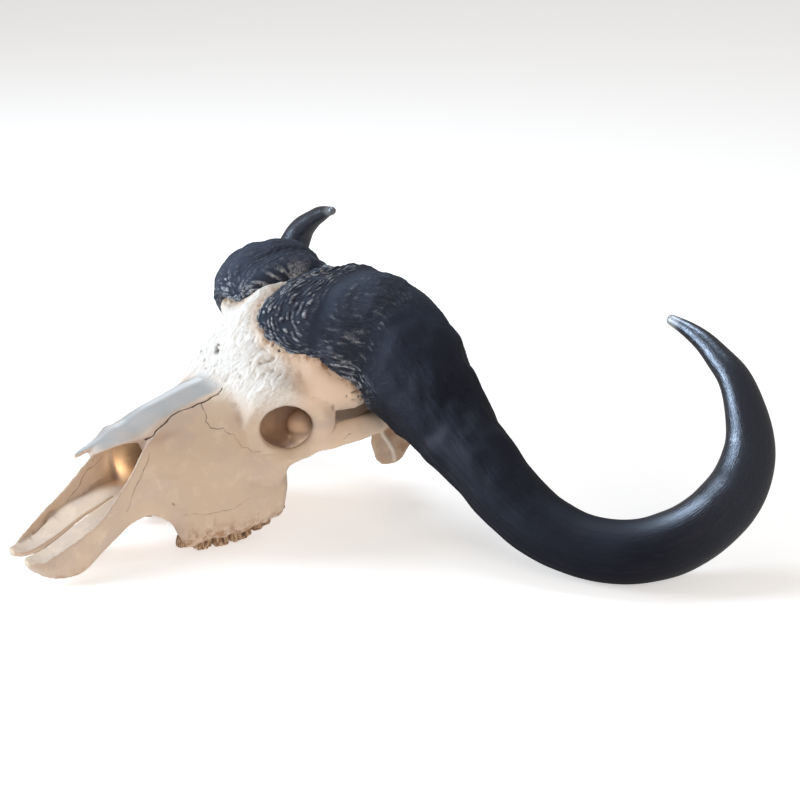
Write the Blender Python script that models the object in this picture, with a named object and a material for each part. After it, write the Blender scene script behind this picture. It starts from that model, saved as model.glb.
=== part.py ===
"""A buffalo skull with both horns, resting on its cheek teeth and on the low bends of its horns.

The frame: +Z up, -Y towards the muzzle, +X towards the animal's left. The origin is on the floor, under the
middle of the whole object. Shapes are given in millimetres, with y counted back from the front of the muzzle,
and an empty at the front of the muzzle carries them to that frame. Everything on the centre line has x = 0,
and what lies at +x is repeated at -x.
"""

import math

import bmesh
import bpy
import numpy as np

# Driving dimensions, in millimetres.
MM = 0.001
MUZZLE_BEFORE_ORIGIN = 344.8
LOWEST_TOOTH = -6.0
SEAT_GAP = 0.4
HORN_GAP = 3.0
NASAL_FRONT = 84.0
NASAL_FREE_END = 110.0
LEFT_NASAL_SHORTER = 9.0
MASS_VOXEL = 4.0
BONE_VOXEL = 3.0
BONE_TRIANGLES = 3700
HORN_AROUND = 22
HORN_ALONG = 38

# The rough boss: how far along the horn it fades out, and the height and size of its lumps.
BOSS_END = 420.0
LUMP_HEIGHT = 6.0
LUMP_SIZE = 34.0
LUMP_SEED = 7

# The right side's small differences: a low bend of the horn that lies nearer the middle and further back, and a
# narrower forehead. The bend's shift grows over the first two of these points of the horn's path, counted from the
# end of the boss, and fades over the last two.
RIGHT_BEND_SHIFT = (-18.0, 12.0, 0.0)
BEND_STEPS = (-1, 1, 8, 11)
RIGHT_BROW_SHARE = 0.15
BROW_FOOT = 150.0
BROW_RISE = 40.0
BROW_MIDDLE = 312.0
BROW_REACH = 32.0

# Colour, roughness.
BONE_LOOK = ((0.80, 0.69, 0.55), 0.62)
HORN_LOOK = ((0.018, 0.019, 0.026), 0.36)
TOOTH_LOOK = ((0.72, 0.55, 0.38), 0.40)

# Half outlines of the face and the braincase, one for each distance y behind the front of the muzzle. Each runs
# from the middle of the palate or skull base, over the gum line and the cheek, to the middle of the top.
CRANIUM = [
    (148, [(0, 54), (18, 53), (33, 47), (42, 43), (48, 55), (50, 82), (47, 108), (38, 127), (20, 137), (0, 141)]),
    (164, [(0, 54), (22, 53), (38, 45), (50, 36), (56, 48), (56, 76), (51, 108), (37, 135), (20, 144), (0, 148)]),
    (176, [(0, 53), (24, 52), (42, 36), (60, 13), (64, 32), (60, 68), (53, 108), (35, 140), (20, 149), (0, 153)]),
    (205, [(0, 50), (27, 48), (46, 30), (71, 10), (75, 32), (71, 67), (61, 110), (33, 149), (20, 157), (0, 161)]),
    (235, [(0, 47), (30, 45), (50, 28), (76, 10), (84, 34), (82, 69), (74, 114), (39, 156), (22, 164), (0, 168)]),
    (262, [(0, 45), (31, 43), (52, 28), (78, 13), (89, 38), (89, 72), (83, 114), (69, 154), (36, 169), (0, 176)]),
    (285, [(0, 45), (31, 44), (52, 34), (78, 17), (92, 44), (95, 78), (94, 120), (92, 172), (47, 201), (0, 209)]),
    (302, [(0, 52), (24, 52), (46, 42), (75, 22), (88, 50), (94, 84), (94, 122), (103, 174), (53, 211), (0, 234)]),
    (314, [(0, 66), (20, 66), (40, 62), (67, 48), (76, 64), (80, 90), (86, 124), (107, 168), (63, 223), (0, 246)]),
    (332, [(0, 80), (18, 80), (30, 80), (44, 84), (50, 98), (54, 116), (78, 142), (111, 150), (98, 212), (0, 262)]),
    (360, [(0, 88), (22, 87), (36, 90), (46, 100), (54, 114), (60, 126), (86, 140), (116, 141), (111, 192), (0, 268)]),
    (395, [(0, 86), (24, 85), (44, 88), (60, 98), (66, 116), (72, 126), (90, 136), (115, 138), (108, 180), (0, 262)]),
    (430, [(0, 78), (26, 76), (54, 76), (78, 86), (88, 104), (90, 124), (94, 142), (98, 160), (84, 206), (0, 248)]),
    (465, [(0, 72), (26, 68), (56, 66), (84, 78), (94, 100), (94, 124), (90, 146), (82, 168), (60, 196), (0, 216)]),
    (488, [(0, 74), (24, 68), (50, 68), (76, 80), (84, 100), (82, 124), (76, 146), (66, 164), (42, 182), (0, 190)]),
]

# Horn, from the middle of the forehead to its tip: centre, half width from front to back, half thickness above
# and below. The right boss is narrower and thinner below than the left one, and the rest is the same.
LEFT_BOSS = [
    ((22, 390, 246), 73, 38, 22),
    ((38, 391, 240), 84, 50, 30),
    ((62, 396, 233), 84, 58, 46),
    ((92, 408, 225), 76, 68, 52),
    ((122, 424, 209), 58, 80, 54),
]
RIGHT_BOSS = [
    ((22, 390, 250), 64, 36, 16),
    ((38, 391, 246), 62, 48, 14),
    ((62, 394, 244), 58, 57, 12),
    ((92, 401, 239), 60, 51, 13),
    ((122, 416, 222), 67, 54, 22),
]
HORN_PATH = [
    ((152, 436, 187), 59, 77, 71),
    ((182, 442, 161), 54, 62, 65),
    ((212, 446, 136), 49, 51, 50),
    ((242, 447, 117), 44, 44, 43),
    ((276, 449, 96), 41, 41, 40),
    ((312, 455, 69), 38.5, 38.5, 37.5),
    ((352, 466, 46), 36.5, 36.5, 36),
    ((402, 489, 30.6), 35, 35, 35.4),
    ((446, 522, 31), 35, 35, 35),
    ((470, 562, 42), 35, 35, 35),
    ((481, 601, 62), 34, 34, 34),
    ((482, 636, 90), 31.5, 31.5, 31.5),
    ((474, 658, 125), 27.5, 27.5, 27.5),
    ((459, 664, 165), 22, 22, 22),
    ((438, 667, 194), 17.8, 17.8, 17.8),
    ((415, 667, 210), 14.5, 14.5, 14.5),
    ((392, 667, 223), 11.5, 11.5, 11.5),
    ((364, 664, 234), 8.2, 8.2, 8.2),
    ((346, 661, 239), 5.8, 5.8, 5.8),
]


def material(name, look):
    color, roughness = look
    made = bpy.data.materials.new(name)
    made.use_nodes = True
    shader = made.node_tree.nodes["Principled BSDF"]
    shader.inputs["Base Color"].default_value = (*color, 1.0)
    shader.inputs["Roughness"].default_value = roughness
    shader.inputs["Metallic"].default_value = 0.0
    return made


def smooth_values(at, values, wanted):
    """Values at the wanted places on a smooth curve through the given ones."""
    at, values, wanted = np.asarray(at, float), np.asarray(values, float), np.asarray(wanted, float)
    slopes = np.gradient(values, at, axis=0)
    i = np.clip(np.searchsorted(at, wanted, side="right") - 1, 0, len(at) - 2)
    shape = (-1,) + (1,) * (values.ndim - 1)
    step = (at[i + 1] - at[i]).reshape(shape)
    t = (wanted - at[i]).reshape(shape) / step
    return (
        values[i] * (2 * t**3 - 3 * t**2 + 1)
        + slopes[i] * step * (t**3 - 2 * t**2 + t)
        + values[i + 1] * (3 * t**2 - 2 * t**3)
        + slopes[i + 1] * step * (t**3 - t**2)
    )


def unit(vectors):
    return vectors / np.linalg.norm(vectors, axis=-1, keepdims=True)


def curve_lengths(points):
    return np.concatenate([[0.0], np.cumsum(np.linalg.norm(np.diff(points, axis=0), axis=1))])


def lattice_noise(points, size, seed):
    """Smooth random values between -1 and 1 that change over about the given size."""
    table = np.random.default_rng(seed).uniform(-1, 1, 4096)
    scaled = np.asarray(points) / size
    cell = np.floor(scaled).astype(int)
    part = scaled - cell
    part = part * part * (3 - 2 * part)
    total = np.zeros(len(scaled))
    for corner in np.ndindex(2, 2, 2):
        weight = np.prod(np.where(corner, part, 1 - part), axis=1)
        total += weight * table[(cell + corner) @ (73, 179, 283) % len(table)]
    return total


def station_rings(stations, along=64, around=19):
    """Rings through half outlines, each mirrored to a whole one."""
    at = [y for y, _ in stations]
    outlines = np.array([outline for _, outline in stations], float)
    index = np.linspace(0, outlines.shape[1] - 1, around)
    finer = np.array([smooth_values(range(outlines.shape[1]), outline, index) for outline in outlines])
    places = np.linspace(at[0], at[-1], along)
    rings = []
    for y, half in zip(places, smooth_values(at, finer, places)):
        half[0, 0] = half[-1, 0] = 0.0
        other = (half * (-1, 1))[-2:0:-1]
        high = np.clip((other[:, 1] - BROW_FOOT) / BROW_RISE, 0, 1)
        near = np.clip(1.5 - abs(y - BROW_MIDDLE) / BROW_REACH, 0, 1)
        other[:, 0] *= 1 - RIGHT_BROW_SHARE * high * near
        whole = np.concatenate([half, other])
        rings.append(np.column_stack([whole[:, 0], np.full(len(whole), y), whole[:, 1]]))
    return np.array(rings)


def tube_rings(path, sizes, first=(0, 0, 1), around=16, along=16, blunt=0.6, crowd=1.0):
    """Rings round a smooth path. Sizes are half widths along the first direction, and above and below it.

    A crowd above 1 sets the rings closer near the path's start.
    """
    path, sizes = np.asarray(path, float), np.asarray(sizes, float)
    if sizes.shape[1] == 2:
        sizes = sizes[:, [0, 1, 1]]
    lengths = curve_lengths(path)
    places = lengths[-1] * np.linspace(0, 1, along) ** crowd
    centres = smooth_values(lengths, path, places)
    sizes = smooth_values(lengths, sizes, places)
    tangents = unit(np.gradient(centres, places, axis=0))
    angle = np.arange(around) * 2 * math.pi / around
    u, v = np.cos(angle), np.sin(angle)
    first = np.asarray(first, float)
    rings = []
    for centre, size, tangent in zip(centres, sizes, tangents):
        first = unit(first - tangent * (tangent @ first))
        second = np.cross(first, tangent)
        height = np.where(v > 0, size[1], size[2])
        rings.append(centre + np.outer(u * size[0], first) + np.outer(v * height, second))
    front = end_rings(rings[0], centres[0], -tangents[0] * blunt * min(sizes[0]))
    back = end_rings(rings[-1], centres[-1], tangents[-1] * blunt * min(sizes[-1]))
    return np.array(front[::-1] + rings + back)


def end_rings(ring, centre, reach):
    """Smaller and smaller rings that round off an end."""
    return [centre + (ring - centre) * math.cos(a) + reach * math.sin(a) for a in (0.5, 0.95, 1.3)]


def ball_rings(centre, sizes, around=20, along=12):
    """Rings of an ellipsoid from its lowest point to its highest."""
    turn = np.arange(around) * 2 * math.pi / around
    rings = []
    for a in np.linspace(0.08, math.pi - 0.08, along):
        flat = np.column_stack([sizes[0] * np.cos(turn), sizes[1] * np.sin(turn)]) * math.sin(a)
        rings.append(np.column_stack([flat, np.full(around, -sizes[2] * math.cos(a))]) + centre)
    return np.array(rings)


def mirrored(rings):
    return np.asarray(rings) * (-1, 1, 1)


def both_sides(rings):
    return [rings, mirrored(rings)]


def closed_object(name, skins, holder):
    """One object from closed skins, each a stack of rings with a cap at either end."""
    work = bmesh.new()
    for rings in skins:
        count, around = len(rings), len(rings[0])
        corners = [[work.verts.new(np.asarray(p) * MM) for p in ring] for ring in rings]
        for r in range(count - 1):
            for i in range(around):
                j = (i + 1) % around
                work.faces.new((corners[r][i], corners[r][j], corners[r + 1][j], corners[r + 1][i]))
        work.faces.new(corners[0][::-1])
        work.faces.new(corners[-1])
    bmesh.ops.triangulate(work, faces=work.faces)
    bmesh.ops.recalc_face_normals(work, faces=work.faces)
    mesh = bpy.data.meshes.new(name)
    work.to_mesh(mesh)
    work.free()
    made = bpy.data.objects.new(name, mesh)
    made.parent = holder
    bpy.context.scene.collection.objects.link(made)
    return made


def keep_modified(thing):
    """Give an object the mesh that its modifiers make."""
    bpy.context.view_layer.update()
    graph = bpy.context.evaluated_depsgraph_get()
    mesh = bpy.data.meshes.new_from_object(thing.evaluated_get(graph))
    thing.modifiers.clear()
    thing.data = mesh


def fuse(thing, voxel, rounds):
    """Melt an object's overlapping skins into one, and smooth the joins."""
    melt = thing.modifiers.new("melt", "REMESH")
    melt.mode = "VOXEL"
    melt.voxel_size = voxel * MM
    soften = thing.modifiers.new("soften", "SMOOTH")
    soften.factor = 0.5
    soften.iterations = rounds
    keep_modified(thing)


def cut(thing, cutter, clearance=0.0):
    """Take a cutter's space, and a clearance round it, out of an object."""
    cutter.hide_render = True
    cutter.display_type = "WIRE"
    if clearance:
        swell = cutter.modifiers.new("swell", "DISPLACE")
        swell.strength = clearance * MM
        swell.mid_level = 0.0
    away = thing.modifiers.new(cutter.name, "BOOLEAN")
    away.operation = "DIFFERENCE"
    away.solver = "EXACT"
    away.object = cutter


def add_mesh(thing, other):
    """Put another object's mesh into this one, and remove the other."""
    work = bmesh.new()
    work.from_mesh(thing.data)
    work.from_mesh(other.data)
    work.to_mesh(thing.data)
    work.free()
    bpy.data.objects.remove(other)


def muzzle_wall():
    """The long blade of the upper jaw beside the nose opening, with its thin upper edge."""
    outlines = [
        (3, (26, 12), (28, 16), (28, 20)),
        (14, (38, 4), (39, 13), (36, 21)),
        (36, (46, -3), (48, 14), (45, 32)),
        (58, (48, -2), (52, 22), (51, 44)),
        (82, (47, 12), (53, 36), (54, 58)),
        (104, (46, 26), (51, 54), (51, 78)),
        (128, (46, 39), (50, 74), (48, 101)),
        (150, (49, 42), (53, 86), (45, 128)),
        (178, (60, 24), (60, 84), (36, 141)),
    ]
    rings = []
    for y, (x_low, z_low), (x_mid, z_mid), (x_top, z_top) in outlines:
        rings.append([
            (x_low - 9, y, z_low + 4), (x_low - 4.5, y, z_low), (x_low, y, z_low + 4),
            (x_mid, y, z_mid), (x_top, y, z_top - 3), (x_top - 2.2, y, z_top),
            (x_top - 4.5, y, z_top - 3), (x_mid - 6.5, y, z_mid),
        ])
    return loft_finer(rings, 44)


def loft_finer(rings, along):
    """More rings on smooth curves through the given ones."""
    rings = np.asarray(rings, float)
    lengths = curve_lengths(rings.mean(axis=1))
    return smooth_values(lengths, rings, np.linspace(0, lengths[-1], along))


def muzzle_floor():
    """The flat shelf at the front of each upper jaw bone, and the long strip that runs back beside the middle."""
    shelf = []
    for y, x_in, x_out, z in ((3, 14, 27, 17), (9, 7, 33, 17), (20, 4.5, 38, 17), (30, 4, 42, 19), (38, 4, 43, 21)):
        shelf.append(flat_ring(y, x_in, x_out, z, 7))
    strip = []
    for y, x_in, x_out, z in (
        (30, 4, 17, 19), (50, 3.5, 15, 27), (75, 3, 14, 38), (100, 2.5, 14, 49), (125, 1, 16, 57), (150, -2, 18, 60),
    ):
        strip.append(flat_ring(y, x_in, x_out, z, 6))
    return [loft_finer(shelf, 16), loft_finer(strip, 30)]


def flat_ring(y, x_in, x_out, z, thick):
    """A low ring across the skull, with rounded sides."""
    half = thick / 2
    return [
        (x_in, y, z), (x_in + 1.5, y, z - half), ((x_in + x_out) / 2, y, z - half), (x_out - 1.5, y, z - half),
        (x_out, y, z), (x_out - 1.5, y, z + half), ((x_in + x_out) / 2, y, z + half), (x_in + 1.5, y, z + half),
    ]


def nasal_tip(shorter):
    """The free front of one nasal bone, which reaches over the nose opening to a point."""
    rings = []
    for y, x_in, x_out, z in (
        (NASAL_FRONT, 3, 10, 117), (96, 0, 18, 121), (110, -1, 26, 127), (130, -1, 33, 135), (150, -1, 36, 142),
        (172, -1, 35, 151),
    ):
        y += shorter * max(0, (NASAL_FREE_END - y) / (NASAL_FREE_END - NASAL_FRONT))
        drop = (x_out - x_in) * 0.28
        rings.append([
            (x_in, y, z - 5), (x_in, y, z), ((x_in + x_out) / 2, y, z - drop * 0.25), (x_out, y, z - drop - 2),
            (x_out, y, z - drop - 5), ((x_in + x_out) / 2, y, z - drop * 0.25 - 5),
        ])
    return loft_finer(rings, 30)


ORBIT_CENTRE = (94, 303, 127)
ORBIT_HALF_WIDTH = 37
ORBIT_HALF_HEIGHT = 32
ORBIT_FACING = unit(np.array((0.90, -0.43, 0.05)))
RIM_RADIUS = 7.0


def orbit_ring(scale, depth=0.0, count=40):
    """An oval of the eye socket's shape, at a depth behind its rim."""
    side = unit(np.cross(ORBIT_FACING, (0, 0, 1)))
    rise = np.cross(side, ORBIT_FACING)
    centre = np.asarray(ORBIT_CENTRE) - ORBIT_FACING * depth
    angle = np.arange(count) * 2 * math.pi / count
    across = np.outer(np.cos(angle), side) * ORBIT_HALF_WIDTH
    upright = np.outer(np.sin(angle), rise) * ORBIT_HALF_HEIGHT
    return centre + scale * (across + upright)


def orbit_rim():
    """The raised rim round the eye socket, a swollen ring made in three overlapping bows."""
    ring = orbit_ring(1.0, count=24)
    bows = []
    for start in (0, 8, 16):
        path = np.array([ring[(start + i) % 24] for i in range(-1, 10)])
        bows.append(tube_rings(path, [(RIM_RADIUS, RIM_RADIUS)] * len(path), ORBIT_FACING, 12, 14))
    return bows


def orbit_hollow():
    """The eye socket: a deep cup that narrows inwards."""
    cup = ((-24, 0.86), (-8, 0.86), (4, 0.84), (18, 0.88), (34, 0.82), (48, 0.62), (56, 0.34))
    return np.array([orbit_ring(scale, depth, 28) for depth, scale in cup])


def cheek_arch():
    """The bar of bone from below the eye socket back to the side of the braincase."""
    path = [
        (78, 262, 82), (92, 284, 86), (102, 308, 90), (109, 330, 97), (112, 348, 108), (112, 366, 111), (110, 388, 110),
        (103, 412, 108), (92, 438, 108),
    ]
    sizes = [(8, 8), (9, 9), (7, 8), (9, 7), (16, 7), (18, 7), (17, 7), (16, 8), (18, 12)]
    return tube_rings(path, sizes, around=14, along=26)


def bar_behind_eye():
    """The upright bar that closes the eye socket at the back."""
    path = [(108, 341, 103), (110, 344, 116), (111, 346, 132), (108, 343, 152), (98, 342, 172)]
    sizes = [(12, 7), (13, 7), (13, 7), (15, 8), (17, 10)]
    return tube_rings(path, sizes, first=(0, 1, 0), around=12, along=16)


def socket_walls():
    """The swellings of the braincase that close the eye socket from behind and below."""
    return both_sides(ball_rings((65, 342, 112), (19, 18, 18))) + both_sides(ball_rings((46, 336, 90), (22, 26, 18)))


def right_horn_base():
    """The bone under the front of the right boss, which sits higher than the left one."""
    return mirrored(ball_rings((98, 365, 209), (50, 36, 25)))


def neck_process():
    """The broad flap of bone that hangs beside the neck joint."""
    path = [(84, 460, 110), (84, 460, 90), (84, 459, 70), (82, 461, 52), (80, 466, 43)]
    sizes = [(30, 8), (33, 6), (34, 5), (25, 4.5), (10, 4)]
    return tube_rings(path, sizes, first=(0, 1, 0), around=16, along=16)


def skull_base():
    """The pair of knuckles for the neck, the ear capsules and the wings behind the palate."""
    knuckle_path = [(14, 470, 74), (22, 488, 80), (27, 500, 92), (28, 500, 106)]
    knuckle = tube_rings(knuckle_path, [(14, 12), (15, 13), (16, 13), (12, 10)], around=14, along=12)
    capsule = ball_rings((46, 428, 82), (14, 18, 13))
    wing_path = [(26, 300, 66), (25, 320, 66), (23, 342, 74), (20, 365, 84)]
    wing = tube_rings(wing_path, [(15, 4), (18, 3.5), (14, 3.5), (8, 4)], around=12, along=14)
    return both_sides(knuckle) + both_sides(capsule) + both_sides(wing)


def nose_hollow():
    """The nose passage behind the opening."""
    half = [
        (112, [(0, 60), (22, 61), (34, 70), (37, 86), (36, 100), (28, 112), (0, 118)]),
        (150, [(0, 62), (24, 63), (38, 74), (42, 92), (38, 110), (30, 124), (0, 132)]),
        (185, [(0, 62), (26, 63), (46, 76), (50, 92), (43, 112), (28, 134), (0, 146)]),
        (225, [(0, 62), (26, 64), (50, 78), (56, 96), (48, 118), (28, 142), (0, 154)]),
        (262, [(0, 64), (22, 66), (40, 78), (46, 96), (42, 114), (24, 136), (0, 148)]),
    ]
    return station_rings(half, along=30, around=15)


def choana():
    """The two-in-one opening of the nose passage behind the palate."""
    path = [(0, 250, 78), (0, 285, 74), (0, 315, 66), (0, 345, 58)]
    return tube_rings(path, [(10, 14), (13, 17), (15, 18), (14, 16)], around=16, along=14)


def neck_hole():
    """The large hole for the spinal cord."""
    return tube_rings([(0, 455, 118), (0, 480, 112), (0, 515, 106)], [(14, 16), (15, 17), (16, 18)], around=18, along=12)


def brow_groove():
    """The groove of the blood vessels on the brow above the eye."""
    return ball_rings((57, 303, 197), (6, 13, 6))


def horn_rings(boss, bend_shift):
    """The horn, with the lumps and cross ridges of its rough boss."""
    path = np.array([centre for centre, *_ in boss + HORN_PATH], float)
    sizes = np.array([half for _, *half in boss + HORN_PATH], float)
    shifted = np.interp(np.arange(len(path)) - len(boss), BEND_STEPS, (0, 1, 1, 0))
    path += np.outer(shifted, bend_shift)
    rings = tube_rings(path, sizes, (0, -1, 0), HORN_AROUND, HORN_ALONG, blunt=0.9, crowd=1.35)
    points = rings.reshape(-1, 3)
    middles = np.repeat(rings.mean(axis=1), HORN_AROUND, axis=0)
    along = np.repeat(curve_lengths(rings.mean(axis=1)), HORN_AROUND)
    fade = np.clip(1 - along / BOSS_END, 0, 1) ** 0.7
    lumps = lattice_noise(points, LUMP_SIZE, LUMP_SEED) + 0.5 * lattice_noise(points, LUMP_SIZE / 2, LUMP_SEED + 1)
    points = points + unit(points - middles) * (LUMP_HEIGHT * fade * lumps)[:, None]
    points[:, 0] = np.maximum(points[:, 0], HORN_GAP / 2)
    return points.reshape(rings.shape)


# Cheek tooth: name, front, back, distance from the middle, width, height of its biting face at front and back.
TOOTH_ROW = [
    ("premolar_2", 171, 187, 60, 12, 2, 0),
    ("premolar_3", 190, 211, 63, 15, -5, -6),
    ("premolar_4", 213, 231, 66, 17, -6, -6),
    ("molar_1", 233, 261, 68, 19, -6, -2),
    ("molar_2", 263, 287, 68, 20, 0, 7),
    ("molar_3", 289, 309, 66, 18, 9, 20),
]
ROOT_TOP = 27
TOOTH_CORNERS = 10


def tooth_rings(front, back, x, width, bite_front, bite_back):
    """A worn cheek tooth: rounded square rings from the root's top to the biting face."""
    angle = (np.arange(TOOTH_CORNERS) + 0.5) * 2 * math.pi / TOOTH_CORNERS
    across = np.sign(np.cos(angle)) * np.abs(np.cos(angle)) ** 0.6
    along = np.sign(np.sin(angle)) * np.abs(np.sin(angle)) ** 0.6
    middle, half = (front + back) / 2, (back - front) / 2
    rings = []
    for part, size in ((0.0, 0.8), (0.8, 1.0), (1.0, 0.9)):
        y = middle + along * half * size
        bite = bite_front + (bite_back - bite_front) * (y - front) / (back - front)
        rings.append(np.column_stack([x + across * width / 2 * size, y, ROOT_TOP + (bite - ROOT_TOP) * part]))
    return np.array(rings)


def build_skull(holder):
    skull = closed_object("skull", [station_rings(CRANIUM)], holder)
    fuse(skull, MASS_VOXEL, 6)
    for name, skins in (
        ("nose_hollow", [nose_hollow()]),
        ("left_orbit_hollow", [orbit_hollow()]),
        ("right_orbit_hollow", [mirrored(orbit_hollow())]),
        ("left_brow_groove", [brow_groove()]),
        ("right_brow_groove", [mirrored(brow_groove())]),
        ("choana", [choana()]),
        ("neck_hole", [neck_hole()]),
    ):
        cut(skull, closed_object(name, skins, holder))
    keep_modified(skull)
    skins = both_sides(muzzle_wall()) + [nasal_tip(LEFT_NASAL_SHORTER), mirrored(nasal_tip(0))]
    skins += both_sides(cheek_arch()) + socket_walls() + [right_horn_base()]
    skins += both_sides(bar_behind_eye()) + both_sides(neck_process()) + skull_base()
    for piece in muzzle_floor() + orbit_rim():
        skins += both_sides(piece)
    add_mesh(skull, closed_object("thin_bone", skins, holder))
    fuse(skull, BONE_VOXEL, 3)
    thin_out = skull.modifiers.new("thin_out", "DECIMATE")
    thin_out.ratio = BONE_TRIANGLES / (2 * len(skull.data.polygons))
    keep_modified(skull)
    return skull


def build():
    for old in list(bpy.data.objects):
        bpy.data.objects.remove(old)
    holder = bpy.data.objects.new("muzzle_front", None)
    bpy.context.scene.collection.objects.link(holder)
    holder.location = (0, -MUZZLE_BEFORE_ORIGIN * MM, -LOWEST_TOOTH * MM)
    skull = build_skull(holder)
    skull.data.materials.append(material("bone", BONE_LOOK))
    sides = (("left", np.asarray, LEFT_BOSS, (0, 0, 0)), ("right", mirrored, RIGHT_BOSS, RIGHT_BEND_SHIFT))
    for side, turn, boss, bend_shift in sides:
        sheath = turn(horn_rings(boss, bend_shift))
        horn = closed_object(side + "_horn", [sheath], holder)
        horn.data.materials.append(material(side + "_horn", HORN_LOOK))
        cut(skull, closed_object(side + "_horn_seat", [sheath], holder), SEAT_GAP)
        for name, *place in TOOTH_ROW:
            tooth = closed_object(side + "_" + name, [turn(tooth_rings(*place))], holder)
            tooth.data.materials.append(material(side + "_" + name, TOOTH_LOOK))
            cut(skull, closed_object(side + "_" + name + "_socket", [turn(tooth_rings(*place))], holder), SEAT_GAP)


build()
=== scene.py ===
"""The looks of the buffalo skull: bleached bone, black horns and worn cheek teeth on a plain pale floor.

Shapes are worked out in millimetres: x towards the animal's left, y back from the front of the muzzle, and z
up from 6 mm above the floor. ORIGIN moves them to the frame of the CAD model.
"""

import math

import bmesh
import bpy
import numpy as np
from mathutils import Matrix, Vector
from mathutils.kdtree import KDTree


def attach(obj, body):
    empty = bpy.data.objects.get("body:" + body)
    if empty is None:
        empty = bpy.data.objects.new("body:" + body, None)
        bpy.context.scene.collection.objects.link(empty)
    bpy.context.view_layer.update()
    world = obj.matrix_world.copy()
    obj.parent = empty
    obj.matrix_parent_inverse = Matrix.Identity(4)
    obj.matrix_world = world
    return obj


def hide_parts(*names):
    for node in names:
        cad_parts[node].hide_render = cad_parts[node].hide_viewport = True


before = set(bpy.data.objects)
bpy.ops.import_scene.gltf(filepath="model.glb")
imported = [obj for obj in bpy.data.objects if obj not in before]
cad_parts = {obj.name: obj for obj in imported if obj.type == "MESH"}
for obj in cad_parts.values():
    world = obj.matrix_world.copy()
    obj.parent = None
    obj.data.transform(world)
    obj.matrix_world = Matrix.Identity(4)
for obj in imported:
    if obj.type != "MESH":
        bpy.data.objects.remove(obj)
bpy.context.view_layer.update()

MM = 0.001
ORIGIN = np.array((0.0, 344.8, -6.0))

# The camera, from the photograph's perspective. Its focal length is in picture widths.
CAMERA_AT = (1813.0, -724.0, 866.0)
CAMERA_AZIMUTH = 55.4
CAMERA_ELEVATION = 19.6
CAMERA_ROLL = -2.1
FOCAL_LENGTH = 1868.0 / 800.0
SENSOR = 36.0
VIEW_END = 20.0

# Soft round lights, in metres and watts: name, place, the point it faces, width, power, colour, and whether
# it shows in gloss and on matt surfaces. The last three are the sheen along the horns.
LIGHTS = [
    ("window", (-1.9, -2.2, 1.0), (0, 0, 0.1), 1.3, 98, (0.78, 0.89, 1.0), True, True),
    ("skylight", (-1.0, 0.3, 2.6), (0, 0, 0.1), 1.2, 27, (0.78, 0.89, 1.0), True, True),
    ("room", (3.3, -0.5, 1.6), (0.1, 0, 0.1), 2.2, 44, (1.0, 0.84, 0.7), False, True),
    ("sheen_0", (-0.5, 0.5, 2.2), (0.3, 0.2, 0.1), 0.9, 19, (0.72, 0.86, 1.0), True, False),
    ("sheen_1", (-1.0, -1.1, 1.6), (0.3, 0.2, 0.1), 0.9, 19, (0.72, 0.86, 1.0), True, False),
    ("sheen_2", (-0.6, -2.0, 0.3), (0.3, 0.2, 0.1), 0.9, 19, (0.72, 0.86, 1.0), True, False),
]

# The daylight inside the nose.
NOSE_GLOW_AT = (-31.0, 157.0, 79.0)
NOSE_GLOW_POWER = 0.01
NOSE_GLOW_RADIUS = 0.004
NOSE_GLOW_COLOR = (1.0, 0.8, 0.5)

# Light from all round, and the floor, which has some light of its own.
WORLD_COLOR = (1.0, 0.93, 0.86, 1.0)
WORLD_STRENGTH = 0.3
FLOOR_HALF = 12.0
FLOOR_COLOR = (0.8, 0.8, 0.8, 1.0)
FLOOR_ROUGHNESS = 0.9
FLOOR_LIGHT = 0.5

# Mesh sizes: the cells in which the bone's masses and its thin parts melt together, the triangles that stay
# before its finest parts are divided, and the horn's points round a ring and rings.
MASS_VOXEL = 4.0
BONE_VOXEL = 2.0
BONE_TRIANGLES = 98000
HORN_AROUND = 216
HORN_ALONG = 430

# The longest edges where the bone is divided finer, and how far from cracks and fine ridges it is.
FOREHEAD_EDGE = 1.5
CRACK_REACH = 3.0
CRACK_EDGE = 0.9
FINE_REACH = 5.0
FINE_EDGE = 1.6

# The front of the right nasal bone, how much further back the left one starts, and where they are level.
NASAL_FRONT = 84.0
LEFT_NASAL_SHORTER = 14.0
NASAL_FREE_END = 110.0

# The right brow is narrower by this share, above its foot and near its middle.
RIGHT_BROW_SHARE = 0.15
BROW_FOOT = 150.0
BROW_RISE = 40.0
BROW_MIDDLE = 312.0
BROW_REACH = 32.0

# The eye socket, and the places in it that get painted light (the swelling and the plate) and painted shade
# (the floor).
ORBIT_CENTRE = (94, 303, 127)
ORBIT_HALF_WIDTH = 37
ORBIT_HALF_HEIGHT = 32
RIM_RADIUS = 7.0
SOCKET_BALL = (65, 342, 112)
SOCKET_PLATE = (45, 303, 120)
SOCKET_FLOOR = (62, 322, 94)

# The gap between the horns, and the lumps of the boss, which fade out along it.
HORN_GAP = 3.0
BOSS_END = 420.0
LUMP_HEIGHT = 6.0
LUMP_SIZE = 34.0
LUMP_SEED = 7

# The low bend of the right horn lies nearer the middle and further back. The shift grows over the first two
# of these points of the path, counted from the end of the boss, and fades over the last two.
RIGHT_BEND_SHIFT = (-18.0, 12.0, 0.0)
BEND_STEPS = (-1, 1, 8, 11)

# Rows of knobs along the borders of the boss: the way round from below to the lower border, how softly the
# rows turn the corner, the width of a row, the length of a knob, and how smooth the right boss is on top.
BOSS_LOWER_BORDER = 55.0
RIDGE_TURN = 16.0
RIDGE_STEP = 4.8
KNOB_LENGTH = 4.4
RIGHT_SMOOTH_TOP = 0.7

# The smooth groove round the boss and the band of flakes beyond it: distance along the horn, half width.
SMOOTH_BAND_AT = 84.0
SMOOTH_BAND_HALF = 10.0
SECOND_BAND_AT = 118.0
SECOND_BAND_HALF = 20.0

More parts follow.
